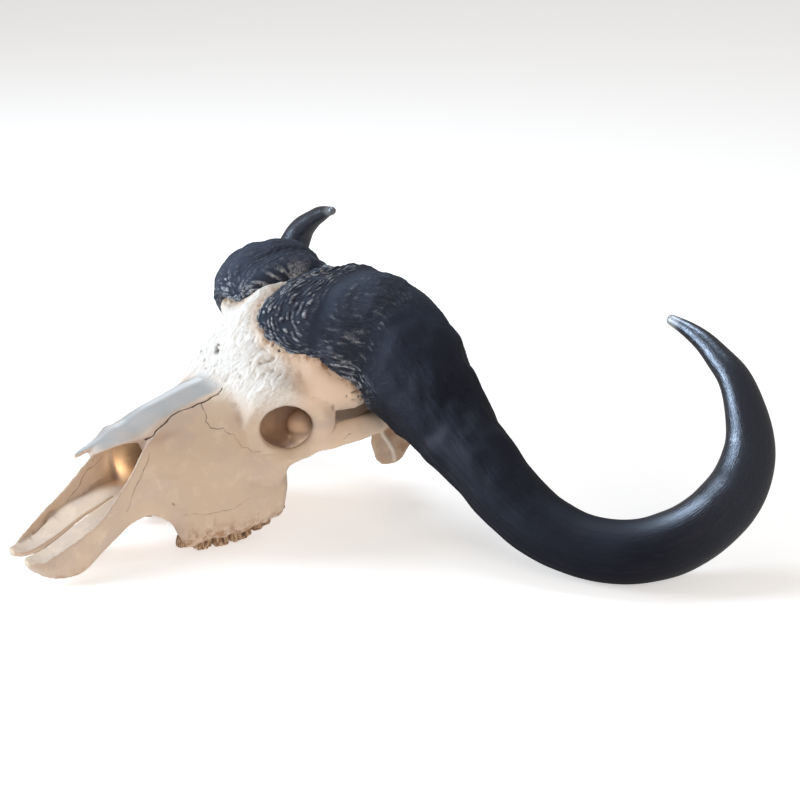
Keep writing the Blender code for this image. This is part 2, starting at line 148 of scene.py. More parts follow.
# Long creases and keels on the low side of the horn: angle above the front, half width, height.
HORN_MEAN_RADIUS = 50.0
HORN_CREASES = [
    (-80, 3.0, -1.0),
    (-62, 2.6, -1.8),
    (-50, 5.0, 1.4),
    (-38, 2.4, -1.6),
    (-20, 2.2, -0.8),
]

# The length of the pale end of the horn.
PALE_TIP = 24.0

# The bone meets the horns between these distances back, and further from them than this it is free of them.
HORN_FRONT = 290.0
HORN_BACK = 480.0
HORN_FAR = 30.0

# The fibres and the wrinkled patch of the forehead, the furrow in front of the eye socket, and the ragged
# border of the bone above the cheek arch.
FIBRE_WAY = (0.1, 0.74, 0.66)
FOREHEAD_WRINKLES = (44, 288, 204)
WRINKLES_REACH = 30.0
EYE_FURROW = [(58, 256, 157), (66, 256, 149), (71, 255, 139), (76, 256, 127), (80, 258, 117), (84, 263, 108)]
TORN_BORDER = [(116, 348, 141), (116, 370, 141), (114, 396, 140)]

# How much lower the bone hangs over the cheek teeth, and how far out over the front ones.
GUM_DROP = 5.5
FRONT_GUM_OUT = 4.0

# The crest of the flap beside the neck joint.
FLAP_CREST = [(91, 433, 95), (90, 439, 82), (90, 446, 71), (89, 453, 58), (86, 457, 45)]

# Cracks and seams of the bone: depth, half width, and the points that each one passes.
CRACKS = [
    (1.6, 0.8, [(36, 154, 131), (36, 162, 135), (34, 174, 140), (31, 184, 145)]),
    (0.9, 0.5, [(31, 184, 145), (29, 196, 150), (30, 209, 153), (32, 220, 156)]),
    (1.6, 0.8, [(32, 218, 155), (33, 226, 157), (35, 233, 158), (36, 243, 161), (36, 251, 163)]),
    (0.9, 0.6, [(36, 251, 163), (34, 254, 166), (31, 258, 168)]),
    (0.5, 0.4, [
        (35, 230, 156), (43, 229, 149), (46, 227, 143), (48, 224, 140), (51, 226, 136), (56, 227, 133),
    ]),
    (0.5, 0.4, [
        (56, 227, 133), (60, 233, 131), (63, 239, 133), (66, 239, 129), (69, 243, 127), (71, 247, 126),
    ]),
    (0.3, 0.3, [
        (71, 247, 126), (74, 247, 121), (78, 251, 117), (80, 253, 111), (82, 258, 110), (85, 262, 104),
        (89, 271, 104),
    ]),
    (0.4, 0.45, [
        (47, 152, 120), (48, 149, 112), (48, 144, 104), (48, 138, 95), (49, 130, 84), (49, 124, 72),
        (49, 116, 58),
    ]),
    (0.4, 0.45, [
        (-43, 135, 93), (-44, 123, 83), (-45, 112, 74), (-45, 106, 66), (-46, 100, 59), (-47, 92, 52),
        (-47, 84, 44),
    ]),
    (0.4, 0.4, [(119, 364, 104), (119, 369, 106), (119, 374, 109)]),
    (0.25, 0.3, [
        (65, 180, 41), (68, 188, 42), (71, 196, 41), (74, 204, 40), (77, 212, 40), (82, 229, 41),
        (85, 241, 45), (88, 252, 51),
    ]),
]

# Ridges and valleys of the brow, and finer ones of the flap and the palate: height, half width, points.
BROW_FORMS = [
    (4.0, 9.0, [(78, 272, 168), (88, 280, 176), (97, 292, 178), (105, 306, 174), (110, 318, 165)]),
    (-2.5, 12.0, [(70, 290, 190), (85, 300, 195), (100, 315, 190)]),
    (-2.5, 3.5, [(62, 292, 199), (67, 298, 201), (71, 304, 205)]),
]
FINE_FORMS = [
    (3.2, 2.2, FLAP_CREST),
    (1.6, 1.6, [(12, 50, 31), (17, 80, 44), (22, 112, 54)]),
    (-1.6, 1.8, [(19, 52, 31), (25, 80, 43), (31, 112, 53)]),
    (1.6, 1.6, [(-11, 50, 31), (-14, 80, 44), (-18, 112, 54)]),
]

# Small holes in the bone: middle, radius, depth.
PITS = [
    ((122, 369, 155), 1.5, 1.5),
    ((122, 376, 159), 1.4, 1.5),
    ((122, 380, 159), 1.6, 1.5),
    ((122, 386, 152), 1.8, 1.8),
    ((121, 378, 150), 1.5, 1.5),
    ((121, 382, 148), 1.5, 1.5),
    ((119, 388, 143), 1.8, 1.5),
    ((64, 310, 216), 1.6, 2.0),
    ((73, 312, 211), 1.8, 2.5),
    ((-51, 277, 187), 1.8, 3.0),
    ((-17, 281, 203), 3.4, 4.0),
    ((-15, 279, 198), 2.6, 4.0),
    ((-20, 266, 177), 1.6, 1.6),
    ((-12, 264, 176), 1.3, 1.4),
    ((-28, 268, 178), 1.4, 1.4),
    ((59, 169, 59), 1.6, 1.2),
    ((60, 170, 55), 1.8, 1.2),
]

# Half outlines of the face and the braincase: distance back, height of the palate or skull base in the
# middle, points out and up over the gum line and the cheek, and height of the top in the middle.
CRANIUM = [
    (148, 54, (18, 53), (33, 47), (42, 43), (48, 55), (50, 82), (47, 108), (38, 127), (20, 137), 141),
    (164, 54, (22, 53), (38, 45), (50, 36), (56, 48), (56, 76), (51, 108), (37, 135), (20, 144), 148),
    (176, 53, (24, 52), (42, 36), (60, 13), (64, 32), (60, 68), (53, 108), (35, 140), (20, 149), 153),
    (205, 50, (27, 48), (46, 30), (71, 10), (75, 32), (71, 67), (61, 110), (33, 149), (20, 157), 161),
    (235, 47, (30, 45), (50, 28), (76, 10), (84, 34), (82, 69), (74, 114), (39, 156), (22, 164), 168),
    (262, 45, (31, 43), (52, 28), (78, 13), (89, 38), (89, 72), (83, 114), (69, 154), (36, 169), 176),
    (285, 45, (31, 44), (52, 34), (78, 17), (92, 44), (95, 78), (94, 120), (92, 172), (47, 201), 209),
    (302, 52, (24, 52), (46, 42), (75, 22), (88, 50), (94, 84), (94, 122), (103, 174), (53, 211), 234),
    (314, 66, (20, 66), (40, 62), (67, 48), (76, 64), (80, 90), (86, 124), (107, 168), (63, 223), 246),
    (332, 80, (18, 80), (30, 80), (44, 84), (50, 98), (54, 116), (78, 142), (111, 150), (98, 212), 262),
    (360, 88, (22, 87), (36, 90), (46, 100), (54, 114), (60, 126), (86, 140), (116, 141), (111, 192), 268),
    (395, 86, (24, 85), (44, 88), (60, 98), (66, 116), (72, 126), (90, 136), (115, 138), (108, 180), 262),
    (430, 78, (26, 76), (54, 76), (78, 86), (88, 104), (90, 124), (94, 142), (98, 160), (84, 206), 248),
    (465, 72, (26, 68), (56, 66), (84, 78), (94, 100), (94, 124), (90, 146), (82, 168), (60, 196), 216),
    (488, 74, (24, 68), (50, 68), (76, 80), (84, 100), (82, 124), (76, 146), (66, 164), (42, 182), 190),
]

# The horn from the middle of the forehead to its tip: centre, half width from front to back, half thickness
# above and below. The right boss is narrower and thinner below than the left one, and the rest is the same.
LEFT_BOSS = [
    ((22, 390, 246), 73, 38, 22),
    ((38, 391, 240), 84, 50, 30),
    ((62, 396, 233), 84, 58, 46),
    ((92, 408, 225), 76, 68, 52),
    ((122, 424, 209), 58, 80, 54),
]
RIGHT_BOSS = [
    ((22, 390, 250), 64, 36, 16),
    ((38, 391, 246), 62, 48, 14),
    ((62, 394, 244), 58, 57, 12),
    ((92, 401, 239), 60, 51, 13),
    ((122, 416, 222), 67, 54, 22),
]
HORN_PATH = [
    ((152, 436, 187), 59, 77, 71),
    ((182, 442, 161), 54, 62, 65),
    ((212, 446, 136), 49, 51, 50),
    ((242, 447, 117), 44, 44, 43),
    ((276, 449, 96), 41, 41, 40),
    ((312, 455, 69), 38.5, 38.5, 37.5),
    ((352, 466, 46), 36.5, 36.5, 36),
    ((402, 489, 30.6), 35, 35, 35.4),
    ((446, 522, 31), 35, 35, 35),
    ((470, 562, 42), 35, 35, 35),
    ((481, 601, 62), 34, 34, 34),
    ((482, 636, 90), 31.5, 31.5, 31.5),
    ((474, 658, 125), 27.5, 27.5, 27.5),
    ((459, 664, 165), 22, 22, 22),
    ((438, 667, 194), 17.8, 17.8, 17.8),
    ((415, 667, 210), 14.5, 14.5, 14.5),
    ((392, 667, 223), 11.5, 11.5, 11.5),
    ((364, 664, 234), 8.2, 8.2, 8.2),
    ((346, 661, 239), 5.8, 5.8, 5.8),
]


def smooth_values(at, values, wanted):
    """Values at the wanted places on a smooth curve through the given ones."""
    at, values, wanted = np.asarray(at, float), np.asarray(values, float), np.asarray(wanted, float)
    slopes = np.gradient(values, at, axis=0)
    i = np.clip(np.searchsorted(at, wanted, side="right") - 1, 0, len(at) - 2)
    shape = (-1,) + (1,) * (values.ndim - 1)
    step = (at[i + 1] - at[i]).reshape(shape)
    t = (wanted - at[i]).reshape(shape) / step
    return (
        values[i] * (2 * t**3 - 3 * t**2 + 1)
        + slopes[i] * step * (t**3 - 2 * t**2 + t)
        + values[i + 1] * (3 * t**2 - 2 * t**3)
        + slopes[i + 1] * step * (t**3 - t**2)
    )


def unit(vectors):
    return vectors / np.maximum(np.linalg.norm(vectors, axis=-1, keepdims=True), 1e-9)


def ramp(values, low, high):
    """0 below low, 1 above high, and smooth between them. High may be the lower one."""
    t = np.clip((values - low) / (high - low), 0, 1)
    return t * t * (3 - 2 * t)


def curve_lengths(points):
    return np.concatenate([[0.0], np.cumsum(np.linalg.norm(np.diff(points, axis=0), axis=1))])


def swell(distance, half):
    """1 at no distance, and next to nothing at twice the half width."""
    return np.exp(-((distance / half) ** 2))


def near(points, middle, far, close):
    """1 closer to a place than close, and 0 further from it than far."""
    return ramp(np.linalg.norm(points - middle, axis=1), far, close)


def noise(points, size, seed):
    """Smooth random values between -1 and 1 that change over about the given size."""
    table = np.random.default_rng(seed).uniform(-1, 1, 4096)
    scaled = np.asarray(points) / size
    cell = np.floor(scaled).astype(int)
    part = scaled - cell
    part = part * part * (3 - 2 * part)
    total = np.zeros(len(scaled))
    for corner in np.ndindex(2, 2, 2):
        weight = np.prod(np.where(corner, part, 1 - part), axis=1)
        total += weight * table[(cell + corner) @ (73, 179, 283) % len(table)]
    return total


def station_rings(stations, along=64, around=19):
    """Rings through half outlines, each mirrored to a whole one."""
    at = [y for y, *_ in stations]
    outlines = np.array([[(0, low), *half, (0, top)] for _, low, *half, top in stations], float)
    index = np.linspace(0, outlines.shape[1] - 1, around)
    finer = np.array([smooth_values(range(outlines.shape[1]), outline, index) for outline in outlines])
    places = np.linspace(at[0], at[-1], along)
    rings = []
    for y, half in zip(places, smooth_values(at, finer, places)):
        half[0, 0] = half[-1, 0] = 0.0
        other = (half * (-1, 1))[-2:0:-1]
        high = np.clip((other[:, 1] - BROW_FOOT) / BROW_RISE, 0, 1)
        level = np.clip(1.5 - abs(y - BROW_MIDDLE) / BROW_REACH, 0, 1)
        other[:, 0] *= 1 - RIGHT_BROW_SHARE * high * level
        whole = np.concatenate([half, other])
        rings.append(np.column_stack([whole[:, 0], np.full(len(whole), y), whole[:, 1]]))
    return np.array(rings)


def tube_rings(path, sizes, first=(0, 0, 1), around=16, along=16, blunt=0.6, crowd=1.0):
    """Rings round a smooth path. Sizes are half widths along the first direction, and above and below it.

    A crowd above 1 sets the rings closer near the path's start.
    """
    path, sizes = np.asarray(path, float), np.asarray(sizes, float)
    if sizes.shape[1] == 2:
        sizes = sizes[:, [0, 1, 1]]
    lengths = curve_lengths(path)
    places = lengths[-1] * np.linspace(0, 1, along) ** crowd
    centres = smooth_values(lengths, path, places)
    sizes = smooth_values(lengths, sizes, places)
    tangents = unit(np.gradient(centres, places, axis=0))
    angle = np.arange(around) * 2 * math.pi / around
    u, v = np.cos(angle), np.sin(angle)
    first = np.asarray(first, float)
    rings = []
    for centre, size, tangent in zip(centres, sizes, tangents):
        first = unit(first - tangent * (tangent @ first))
        second = np.cross(first, tangent)
        height = np.where(v > 0, size[1], size[2])
        rings.append(centre + np.outer(u * size[0], first) + np.outer(v * height, second))
    front = end_rings(rings[0], centres[0], -tangents[0] * blunt * min(sizes[0]))
    back = end_rings(rings[-1], centres[-1], tangents[-1] * blunt * min(sizes[-1]))
    return np.array(front[::-1] + rings + back)


def end_rings(ring, centre, reach):
    """Smaller and smaller rings that round off an end."""
    return [centre + (ring - centre) * math.cos(a) + reach * math.sin(a) for a in (0.5, 0.95, 1.3)]


def ball_rings(centre, sizes, around=20, along=12):
    """Rings of an ellipsoid from its lowest point to its highest."""
    turn = np.arange(around) * 2 * math.pi / around
    rings = []
    for a in np.linspace(0.08, math.pi - 0.08, along):
        flat = np.column_stack([sizes[0] * np.cos(turn), sizes[1] * np.sin(turn)]) * math.sin(a)
        rings.append(np.column_stack([flat, np.full(around, -sizes[2] * math.cos(a))]) + centre)
    return np.array(rings)


def mirrored(rings):
    return np.asarray(rings) * (-1, 1, 1)


def both_sides(rings):
    return [rings, mirrored(rings)]


def to_frame(points):
    """Points in millimetres as places in the frame, in metres."""
    return (np.asarray(points) - ORIGIN) * MM


def new_object(name, data):
    made = bpy.data.objects.new(name, data)
    bpy.context.scene.collection.objects.link(made)
    return made


def closed_object(name, skins):
    """One object from closed skins, each a stack of rings with a cap at either end."""
    work = bmesh.new()
    for rings in skins:
        count, around = len(rings), len(rings[0])
        corners = [[work.verts.new(p) for p in to_frame(ring)] for ring in rings]
        for r in range(count - 1):
            for i in range(around):
                j = (i + 1) % around
                work.faces.new((corners[r][i], corners[r][j], corners[r + 1][j], corners[r + 1][i]))
        work.faces.new(corners[0][::-1])
        work.faces.new(corners[-1])
    bmesh.ops.triangulate(work, faces=work.faces)
    bmesh.ops.recalc_face_normals(work, faces=work.faces)
    mesh = bpy.data.meshes.new(name)
    work.to_mesh(mesh)
    work.free()
    return new_object(name, mesh)


def keep_modified(thing):
    """Give an object the mesh that its modifiers make."""
    bpy.context.view_layer.update()
    graph = bpy.context.evaluated_depsgraph_get()
    mesh = bpy.data.meshes.new_from_object(thing.evaluated_get(graph))
    thing.modifiers.clear()
    thing.data = mesh


def fuse(thing, voxel, rounds):
    """Melt an object's overlapping skins into one, and smooth the joins."""
    melt = thing.modifiers.new("melt", "REMESH")
    melt.mode = "VOXEL"
    melt.voxel_size = voxel * MM
    soften = thing.modifiers.new("soften", "SMOOTH")
    soften.factor = 0.5
    soften.iterations = rounds
    keep_modified(thing)


def cut(thing, skins):
    """Take closed skins out of an object."""
    cutter = closed_object("cutter", skins)
    away = thing.modifiers.new("away", "BOOLEAN")
    away.operation = "DIFFERENCE"
    away.solver = "EXACT"
    away.object = cutter
    keep_modified(thing)
    bpy.data.objects.remove(cutter)


def add_mesh(thing, other):
    """Put another object's mesh into this one, and remove the other."""
    work = bmesh.new()
    work.from_mesh(thing.data)
    work.from_mesh(other.data)
    work.to_mesh(thing.data)
    work.free()
    bpy.data.objects.remove(other)


def ring_at(y, corners):
    """A ring across the skull, from its corners' distances out and up."""
    return [(x, y, z) for x, z in corners]


def muzzle_wall():
    """The long blade of the upper jaw beside the nose opening, with its thin upper edge."""
    outlines = [
        (3, (26, 12), (28, 16), (28, 20)),
        (14, (38, 4), (39, 13), (36, 21)),
        (36, (46, -3), (48, 14), (45, 32)),
        (58, (48, -2), (52, 22), (51, 44)),
        (82, (47, 12), (53, 36), (54, 58)),
        (104, (46, 26), (51, 54), (51, 78)),
        (128, (46, 39), (50, 74), (48, 101)),
        (150, (49, 42), (53, 86), (45, 128)),
        (178, (60, 24), (60, 84), (36, 141)),
    ]
    rings = []
    for y, (x_low, z_low), (x_mid, z_mid), (x_top, z_top) in outlines:
        rings.append(ring_at(y, [
            (x_low - 9, z_low + 4), (x_low - 4.5, z_low), (x_low, z_low + 4), (x_mid, z_mid),
            (x_top, z_top - 3), (x_top - 2.2, z_top), (x_top - 4.5, z_top - 3), (x_mid - 6.5, z_mid),
        ]))
    return loft_finer(rings, along=44)


def loft_finer(rings, along):
    """More rings on smooth curves through the given ones."""
    rings = np.asarray(rings, float)
    lengths = curve_lengths(rings.mean(axis=1))
    return smooth_values(lengths, rings, np.linspace(0, lengths[-1], along))


def muzzle_floor():
    """The shelf at the front of each upper jaw bone, and the strip back from it beside the middle."""
    shelf = [(3, 14, 27, 17), (9, 7, 33, 17), (20, 4.5, 38, 17), (30, 4, 42, 19), (38, 4, 43, 21)]
    strip = [
        (30, 4, 30, 19), (42, 3.6, 37, 23.5), (54, 2.8, 40, 28.5), (62, 2.2, 45, 32),
        (88, 1.6, 46, 44), (105, 1.2, 44, 50), (125, 0.5, 43, 57), (150, -2, 43, 60),
    ]
    return [
        loft_finer([flat_ring(*row, thick=7) for row in shelf], along=16),
        loft_finer([flat_ring(*row, thick=6) for row in strip], along=30),
    ]


def flat_ring(y, x_in, x_out, z, thick):
    """A low ring across the skull, with rounded sides."""
    half, x_middle = thick / 2, (x_in + x_out) / 2
    return ring_at(y, [
        (x_in, z), (x_in + 1.5, z - half), (x_middle, z - half), (x_out - 1.5, z - half),
        (x_out, z), (x_out - 1.5, z + half), (x_middle, z + half), (x_in + 1.5, z + half),
    ])


def nasal_tip(shorter):
    """The free front of one nasal bone, which reaches over the nose opening to a point."""
    rings = []
    for y, x_in, x_out, z, z_edge in (
        (NASAL_FRONT, 3, 8, 118, 115),
        (96, 0, 13, 122.5, 118.5),
        (110, -1, 18, 127.5, 121.5),
        (120, -1, 22, 131, 124.5),
        (128, -1, 27, 134, 127.5),
        (134, -1, 31, 136.5, 129),
        (150, -1, 35, 142, 128.5),
        (172, -1, 35, 151, 136.5),
    ):
        y += shorter * max(0, (NASAL_FREE_END - y) / (NASAL_FREE_END - NASAL_FRONT))
        x_middle, z_middle = (x_in + x_out) / 2, z - (z - z_edge - 3) * 0.25
        rings.append(ring_at(y, [
            (x_in, z - 5), (x_in, z), (x_middle, z_middle), (x_out, z_edge + 3), (x_out, z_edge),
            (x_middle, z_middle - 5),
        ]))
    return loft_finer(rings, along=30)


# The way that the left eye socket faces.
ORBIT_FACING = unit(np.array((0.9, -0.43, 0.05)))


def orbit_ring(scale, depth=0.0, count=40):
    """An oval of the eye socket's shape, at a depth behind its rim."""
    side = unit(np.cross(ORBIT_FACING, (0, 0, 1)))
    rise = np.cross(side, ORBIT_FACING)
    centre = np.asarray(ORBIT_CENTRE) - ORBIT_FACING * depth
    angle = np.arange(count) * 2 * math.pi / count
    across = np.outer(np.cos(angle), side) * ORBIT_HALF_WIDTH
    upright = np.outer(np.sin(angle), rise) * ORBIT_HALF_HEIGHT
    return centre + scale * (across + upright)


def orbit_rim():
    """The raised rim round the eye socket, a swollen ring made in three overlapping bows."""
    ring = orbit_ring(1.0, count=24)
    bows = []
    for start in (0, 8, 16):
        path = np.array([ring[(start + i) % 24] for i in range(-1, 10)])
        sizes = [(RIM_RADIUS, RIM_RADIUS)] * len(path)
        bows.append(tube_rings(path, sizes, ORBIT_FACING, around=18, along=40))
    return bows


def orbit_hollow():
    """The eye socket: a deep cup that narrows inwards."""
    cup = ((-24, 0.86), (-8, 0.86), (4, 0.84), (18, 0.88), (34, 0.82), (48, 0.62), (56, 0.34))
    return np.array([orbit_ring(scale, depth, 28) for depth, scale in cup])


def cheek_arch():
    """The bar of bone from below the eye socket back to the side of the braincase."""
    path = [
        (78, 262, 82), (92, 284, 86), (102, 308, 90), (109, 330, 97), (112, 348, 107),
        (112, 366, 109), (110, 388, 108.5), (103, 412, 108), (92, 438, 108),
    ]
    sizes = [(8, 8), (9, 9), (7, 8), (9, 7), (14.5, 7), (15, 7), (15, 7), (16, 8), (18, 12)]
    return tube_rings(path, sizes, around=14, along=26)


def bar_behind_eye():
    """The upright bar that closes the eye socket at the back."""
    path = [(108, 341, 103), (110, 344, 116), (111, 346, 132), (108, 343, 152), (98, 342, 172)]
    sizes = [(12, 7), (13, 7), (13, 7), (15, 8), (17, 10)]
    return tube_rings(path, sizes, first=(0, 1, 0), around=12, along=16)


def socket_walls():
    """The swellings of the braincase that close the eye socket from behind and below."""
    behind = ball_rings(SOCKET_BALL, (19, 18, 18))
    below = ball_rings((46, 336, 90), (22, 26, 18))
    return both_sides(behind) + both_sides(below)


def right_horn_base():
    """The bone under the front of the right boss, which sits higher than the left one."""
    return mirrored(ball_rings((91, 371, 211), (45, 31, 20)))


def neck_process():
    """The broad flap of bone that hangs beside the neck joint."""
    path = [(84, 460, 110), (84, 460, 90), (84, 459, 70), (82, 461, 52), (80, 466, 43)]
    sizes = [(30, 8), (33, 6), (34, 5), (25, 4.5), (10, 4)]
    return tube_rings(path, sizes, first=(0, 1, 0), around=16, along=16)


def skull_base():
    """The pair of knuckles for the neck, the ear capsules and the wings behind the palate."""
    knuckle_path = [(14, 470, 74), (22, 488, 80), (27, 500, 92), (28, 500, 106)]
    knuckle = tube_rings(knuckle_path, [(14, 12), (15, 13), (16, 13), (12, 10)], around=14, along=12)
    capsule = ball_rings((46, 428, 82), (14, 18, 13))
    wing_path = [(26, 300, 66), (25, 320, 66), (23, 342, 74), (20, 365, 84)]
    wing = tube_rings(wing_path, [(15, 4), (18, 3.5), (14, 3.5), (8, 4)], around=12, along=14)
    return both_sides(knuckle) + both_sides(capsule) + both_sides(wing)


def nose_hollow():
    """The nose passage behind the opening."""
    half = [
        (112, 60, (22, 61), (34, 70), (37, 86), (36, 100), (28, 112), 118),
        (150, 62, (24, 63), (38, 74), (42, 92), (38, 110), (30, 124), 132),
        (185, 62, (26, 63), (46, 76), (50, 92), (43, 112), (28, 134), 146),
        (225, 62, (26, 64), (50, 78), (56, 96), (48, 118), (28, 142), 154),
        (262, 64, (22, 66), (40, 78), (46, 96), (42, 114), (24, 136), 148),
    ]
    return station_rings(half, along=30, around=15)


def choana():
    """The two-in-one opening of the nose passage behind the palate."""
    path = [(0, 250, 78), (0, 285, 74), (0, 315, 66), (0, 345, 58)]
    return tube_rings(path, [(10, 14), (13, 17), (15, 18), (14, 16)], around=16, along=14)


def neck_hole():
    """The large hole for the spinal cord."""
    path = [(0, 455, 118), (0, 480, 112), (0, 515, 106)]
    return tube_rings(path, [(14, 16), (15, 17), (16, 18)], around=18, along=12)


def brow_groove():
    """The groove of the blood vessels on the brow above the eye."""
    return ball_rings((57, 303, 197), (6, 13, 6))


def on_left(points):
    """The points, with those of the right side mirrored to the left."""
    return np.column_stack([abs(points[:, 0]), points[:, 1:]])


def mesh_points(mesh):
    """A mesh's points in millimetres, and their outward directions."""
    count = len(mesh.vertices)
    points, normals = np.empty(count * 3), np.empty(count * 3)
    mesh.vertices.foreach_get("co", points)
    mesh.vertices.foreach_get("normal", normals)
    return points.reshape(-1, 3) / MM + ORIGIN, normals.reshape(-1, 3)


def set_points(mesh, points):
    mesh.vertices.foreach_set("co", to_frame(points).ravel())
    mesh.update()


def store(mesh, masks):
    """Keep numbers or vectors of each point under their names, for a material to read."""
    for name, values in masks.items():
        values = np.asarray(values, np.float32)
        kind, key = ("FLOAT", "value") if values.ndim == 1 else ("FLOAT_VECTOR", "vector")
        mesh.attributes.new(name, kind, "POINT").data.foreach_set(key, values.ravel())


def shade_smooth(mesh):
    mesh.polygons.foreach_set("use_smooth", np.ones(len(mesh.polygons), bool))
    mesh.update()


def skull_shape():
    """The bone without its surface detail: the masses with their hollows first, then the thin parts."""
    skull = closed_object("skull_bone", [station_rings(CRANIUM, along=90, around=28)])
    fuse(skull, MASS_VOXEL, rounds=6)
    cut(skull, [nose_hollow()])
    cut(skull, both_sides(orbit_hollow()))
    cut(skull, both_sides(brow_groove()))
    cut(skull, [choana(), neck_hole()])
    skins = both_sides(muzzle_wall()) + [nasal_tip(LEFT_NASAL_SHORTER), mirrored(nasal_tip(0))]
    skins += both_sides(cheek_arch()) + socket_walls() + [right_horn_base()]
    skins += both_sides(bar_behind_eye()) + both_sides(neck_process()) + skull_base()
    for piece in muzzle_floor() + orbit_rim():
        skins += both_sides(piece)
    add_mesh(skull, closed_object("thin_bone", skins))
    fuse(skull, BONE_VOXEL, rounds=4)
    return skull


def thin_out(skull, triangles):
    faces = sum(len(face.vertices) - 2 for face in skull.data.polygons)
    fewer = skull.modifiers.new("fewer", "DECIMATE")
    fewer.ratio = min(1.0, triangles / faces)
    keep_modified(skull)


def edge_ends(mesh):
    """The numbers of the two points of each edge."""
    ends = np.empty(len(mesh.edges) * 2, np.int32)
    mesh.edges.foreach_get("vertices", ends)
    return ends.reshape(-1, 2)


def divide_edges(mesh, wanted, longest):
    """Halve the edges between wanted points that are longer than the given length."""
    points, _ = mesh_points(mesh)
    ends = edge_ends(mesh)
    keep = wanted(points)
    lengths = np.linalg.norm(points[ends[:, 0]] - points[ends[:, 1]], axis=1)
    chosen = np.nonzero(keep[ends[:, 0]] & keep[ends[:, 1]] & (lengths > longest))[0]
    finer = bmesh.new()
    finer.from_mesh(mesh)
    finer.edges.ensure_lookup_table()
    bmesh.ops.subdivide_edges(finer, edges=[finer.edges[i] for i in chosen], cuts=1)
    bmesh.ops.triangulate(finer, faces=[face for face in finer.faces if len(face.verts) > 3])
    finer.to_mesh(mesh)
    finer.free()


def line_distance(points, line, normals=None):
    """Distance from points to a line through corners, mostly along the surface where normals are given."""
    nearest = np.full(len(points), np.inf)
    for start, end in zip(line[:-1], line[1:]):
        start, along = np.array(start, float), np.array(end, float) - start
        share = np.clip((points - start) @ along / (along @ along), 0, 1)
        off = points - start - share[:, None] * along
        if normals is not None:
            off -= 0.9 * normals * (off * normals).sum(axis=1)[:, None]
        nearest = np.minimum(nearest, np.linalg.norm(off, axis=1))
    return nearest


def wobble(points):
    """A small sideways wander, so that a crack isn't straight between its corners."""
    ways = []
    for seed in (401, 402, 403):
        ways.append(1.6 * noise(points, 9, seed) + 0.6 * noise(points, 3.2, seed + 3))
    return np.column_stack(ways)


def crack_distance(points):
    """Distance from each point to the nearest crack."""
    moved = points + wobble(points)
    return np.min([line_distance(moved, line) for _, _, line in CRACKS], axis=0)


def forehead_share(points):
    """Where the bone is fibrous: 1 on the forehead and on the brows, and 0 elsewhere."""
    x, y, z = points.T
    front = ramp(y + 0.15 * z, 266, 300) * ramp(z, 134, 172)
    side = ramp(abs(x), 118, 96) * np.maximum(ramp(y, 330, 300), ramp(abs(x), 66, 48))
    right_base = 0.7 * ramp(x, -60, -72) * ramp(y, 385, 365) * ramp(z, 190, 205)
    return front * np.maximum(side, right_base)


def stretched(points, way, share):
    """Points squeezed along one direction, so that noise in them runs out in streaks that way."""
    way = unit(np.array(way, float))
    return points - np.outer(points @ way, way) * (1 - share)


def smoothed(mesh, points, rounds):
    """The points after each has moved to the middle of its neighbours, over and over."""
    ends = edge_ends(mesh)
    count = np.bincount(ends.ravel(), minlength=len(points))[:, None]
    for _ in range(rounds):
        total = np.zeros_like(points)
        for axis in range(3):
            total[:, axis] = np.bincount(ends[:, 0], points[ends[:, 1], axis], len(points))
            total[:, axis] += np.bincount(ends[:, 1], points[ends[:, 0], axis], len(points))
        points = total / count
    return points


def hollow_depth(mesh, points, normals, rounds=12):
    """How far each point lies below its surroundings, in millimetres."""
    return ((smoothed(mesh, points, rounds) - points) * normals).sum(axis=1)


def tooth_bulges(points):
    """Height of the bone over the tooth roots, with narrow furrows between them."""
    x, y, z = points.T
    total = np.zeros(len(points))
    for _, front, back, *_ in TOOTH_ROW:
        middle, half = (front + back) / 2, (back - front) / 2
        total = np.maximum(total, 1 - (abs(y - middle) / half) ** 2)
    low = ramp(z, 52, 26) * ramp(abs(x), 48, 58)
    return low * (1.6 * np.clip(total, 0, 1) - 0.6)


def eye_rim_relief(points):
    """Height of the raised rim round each eye socket, and of the furrow in front of it."""
    one_side = on_left(points)
    ring = orbit_ring(1.16)
    rim = swell(line_distance(one_side, [*ring, ring[0]]), 6.5)
    furrow = swell(line_distance(one_side, EYE_FURROW), 9.0)
    return (3.0 + 1.6 * noise(points, 7, 361)) * rim - 2.6 * furrow


def fibre_relief(points, fibrous):
    """Height of the fibres and wrinkles of the forehead, and the stretched places that the fibres follow."""
    bent = points + 5 * np.column_stack([noise(points, 26, seed) for seed in (301, 302, 303)])
    streaks = stretched(bent, FIBRE_WAY, 0.28)
    fibres = 0.7 * noise(streaks, 3.2, 311) + 0.7 * noise(bent, 2.6, 312)
    furrows = ramp(abs(noise(streaks, 5.0, 314)), 0.16, 0.0)
    height = fibrous * (fibres - 0.5 * furrows + 0.5 * noise(streaks, 11, 313))
    wrinkles = swell(np.linalg.norm(points - FOREHEAD_WRINKLES, axis=1), WRINKLES_REACH)
    return height + 2.2 * wrinkles * noise(bent, 7.5, 315), streaks


def edge_relief(points, normals):
    """Height of the streaks along the palate, the torn border and the low edge by the teeth."""
    _, y, z = points.T
    palate = ramp(y, 135, 110) * ramp(normals[:, 2], 0.5, 0.8) * ramp(z, 70, 60)
    torn = swell(line_distance(points, TORN_BORDER), 8)
    low_edge = ramp(z, 30, 14) * ramp(y, 160, 175)
    height = 0.8 * palate * noise(points * (1, 0.05, 0), 4.0, 335)
    height += 1.6 * torn * noise(points, 5, 333)
    return height + 1.1 * low_edge * noise(points, 5, 331)


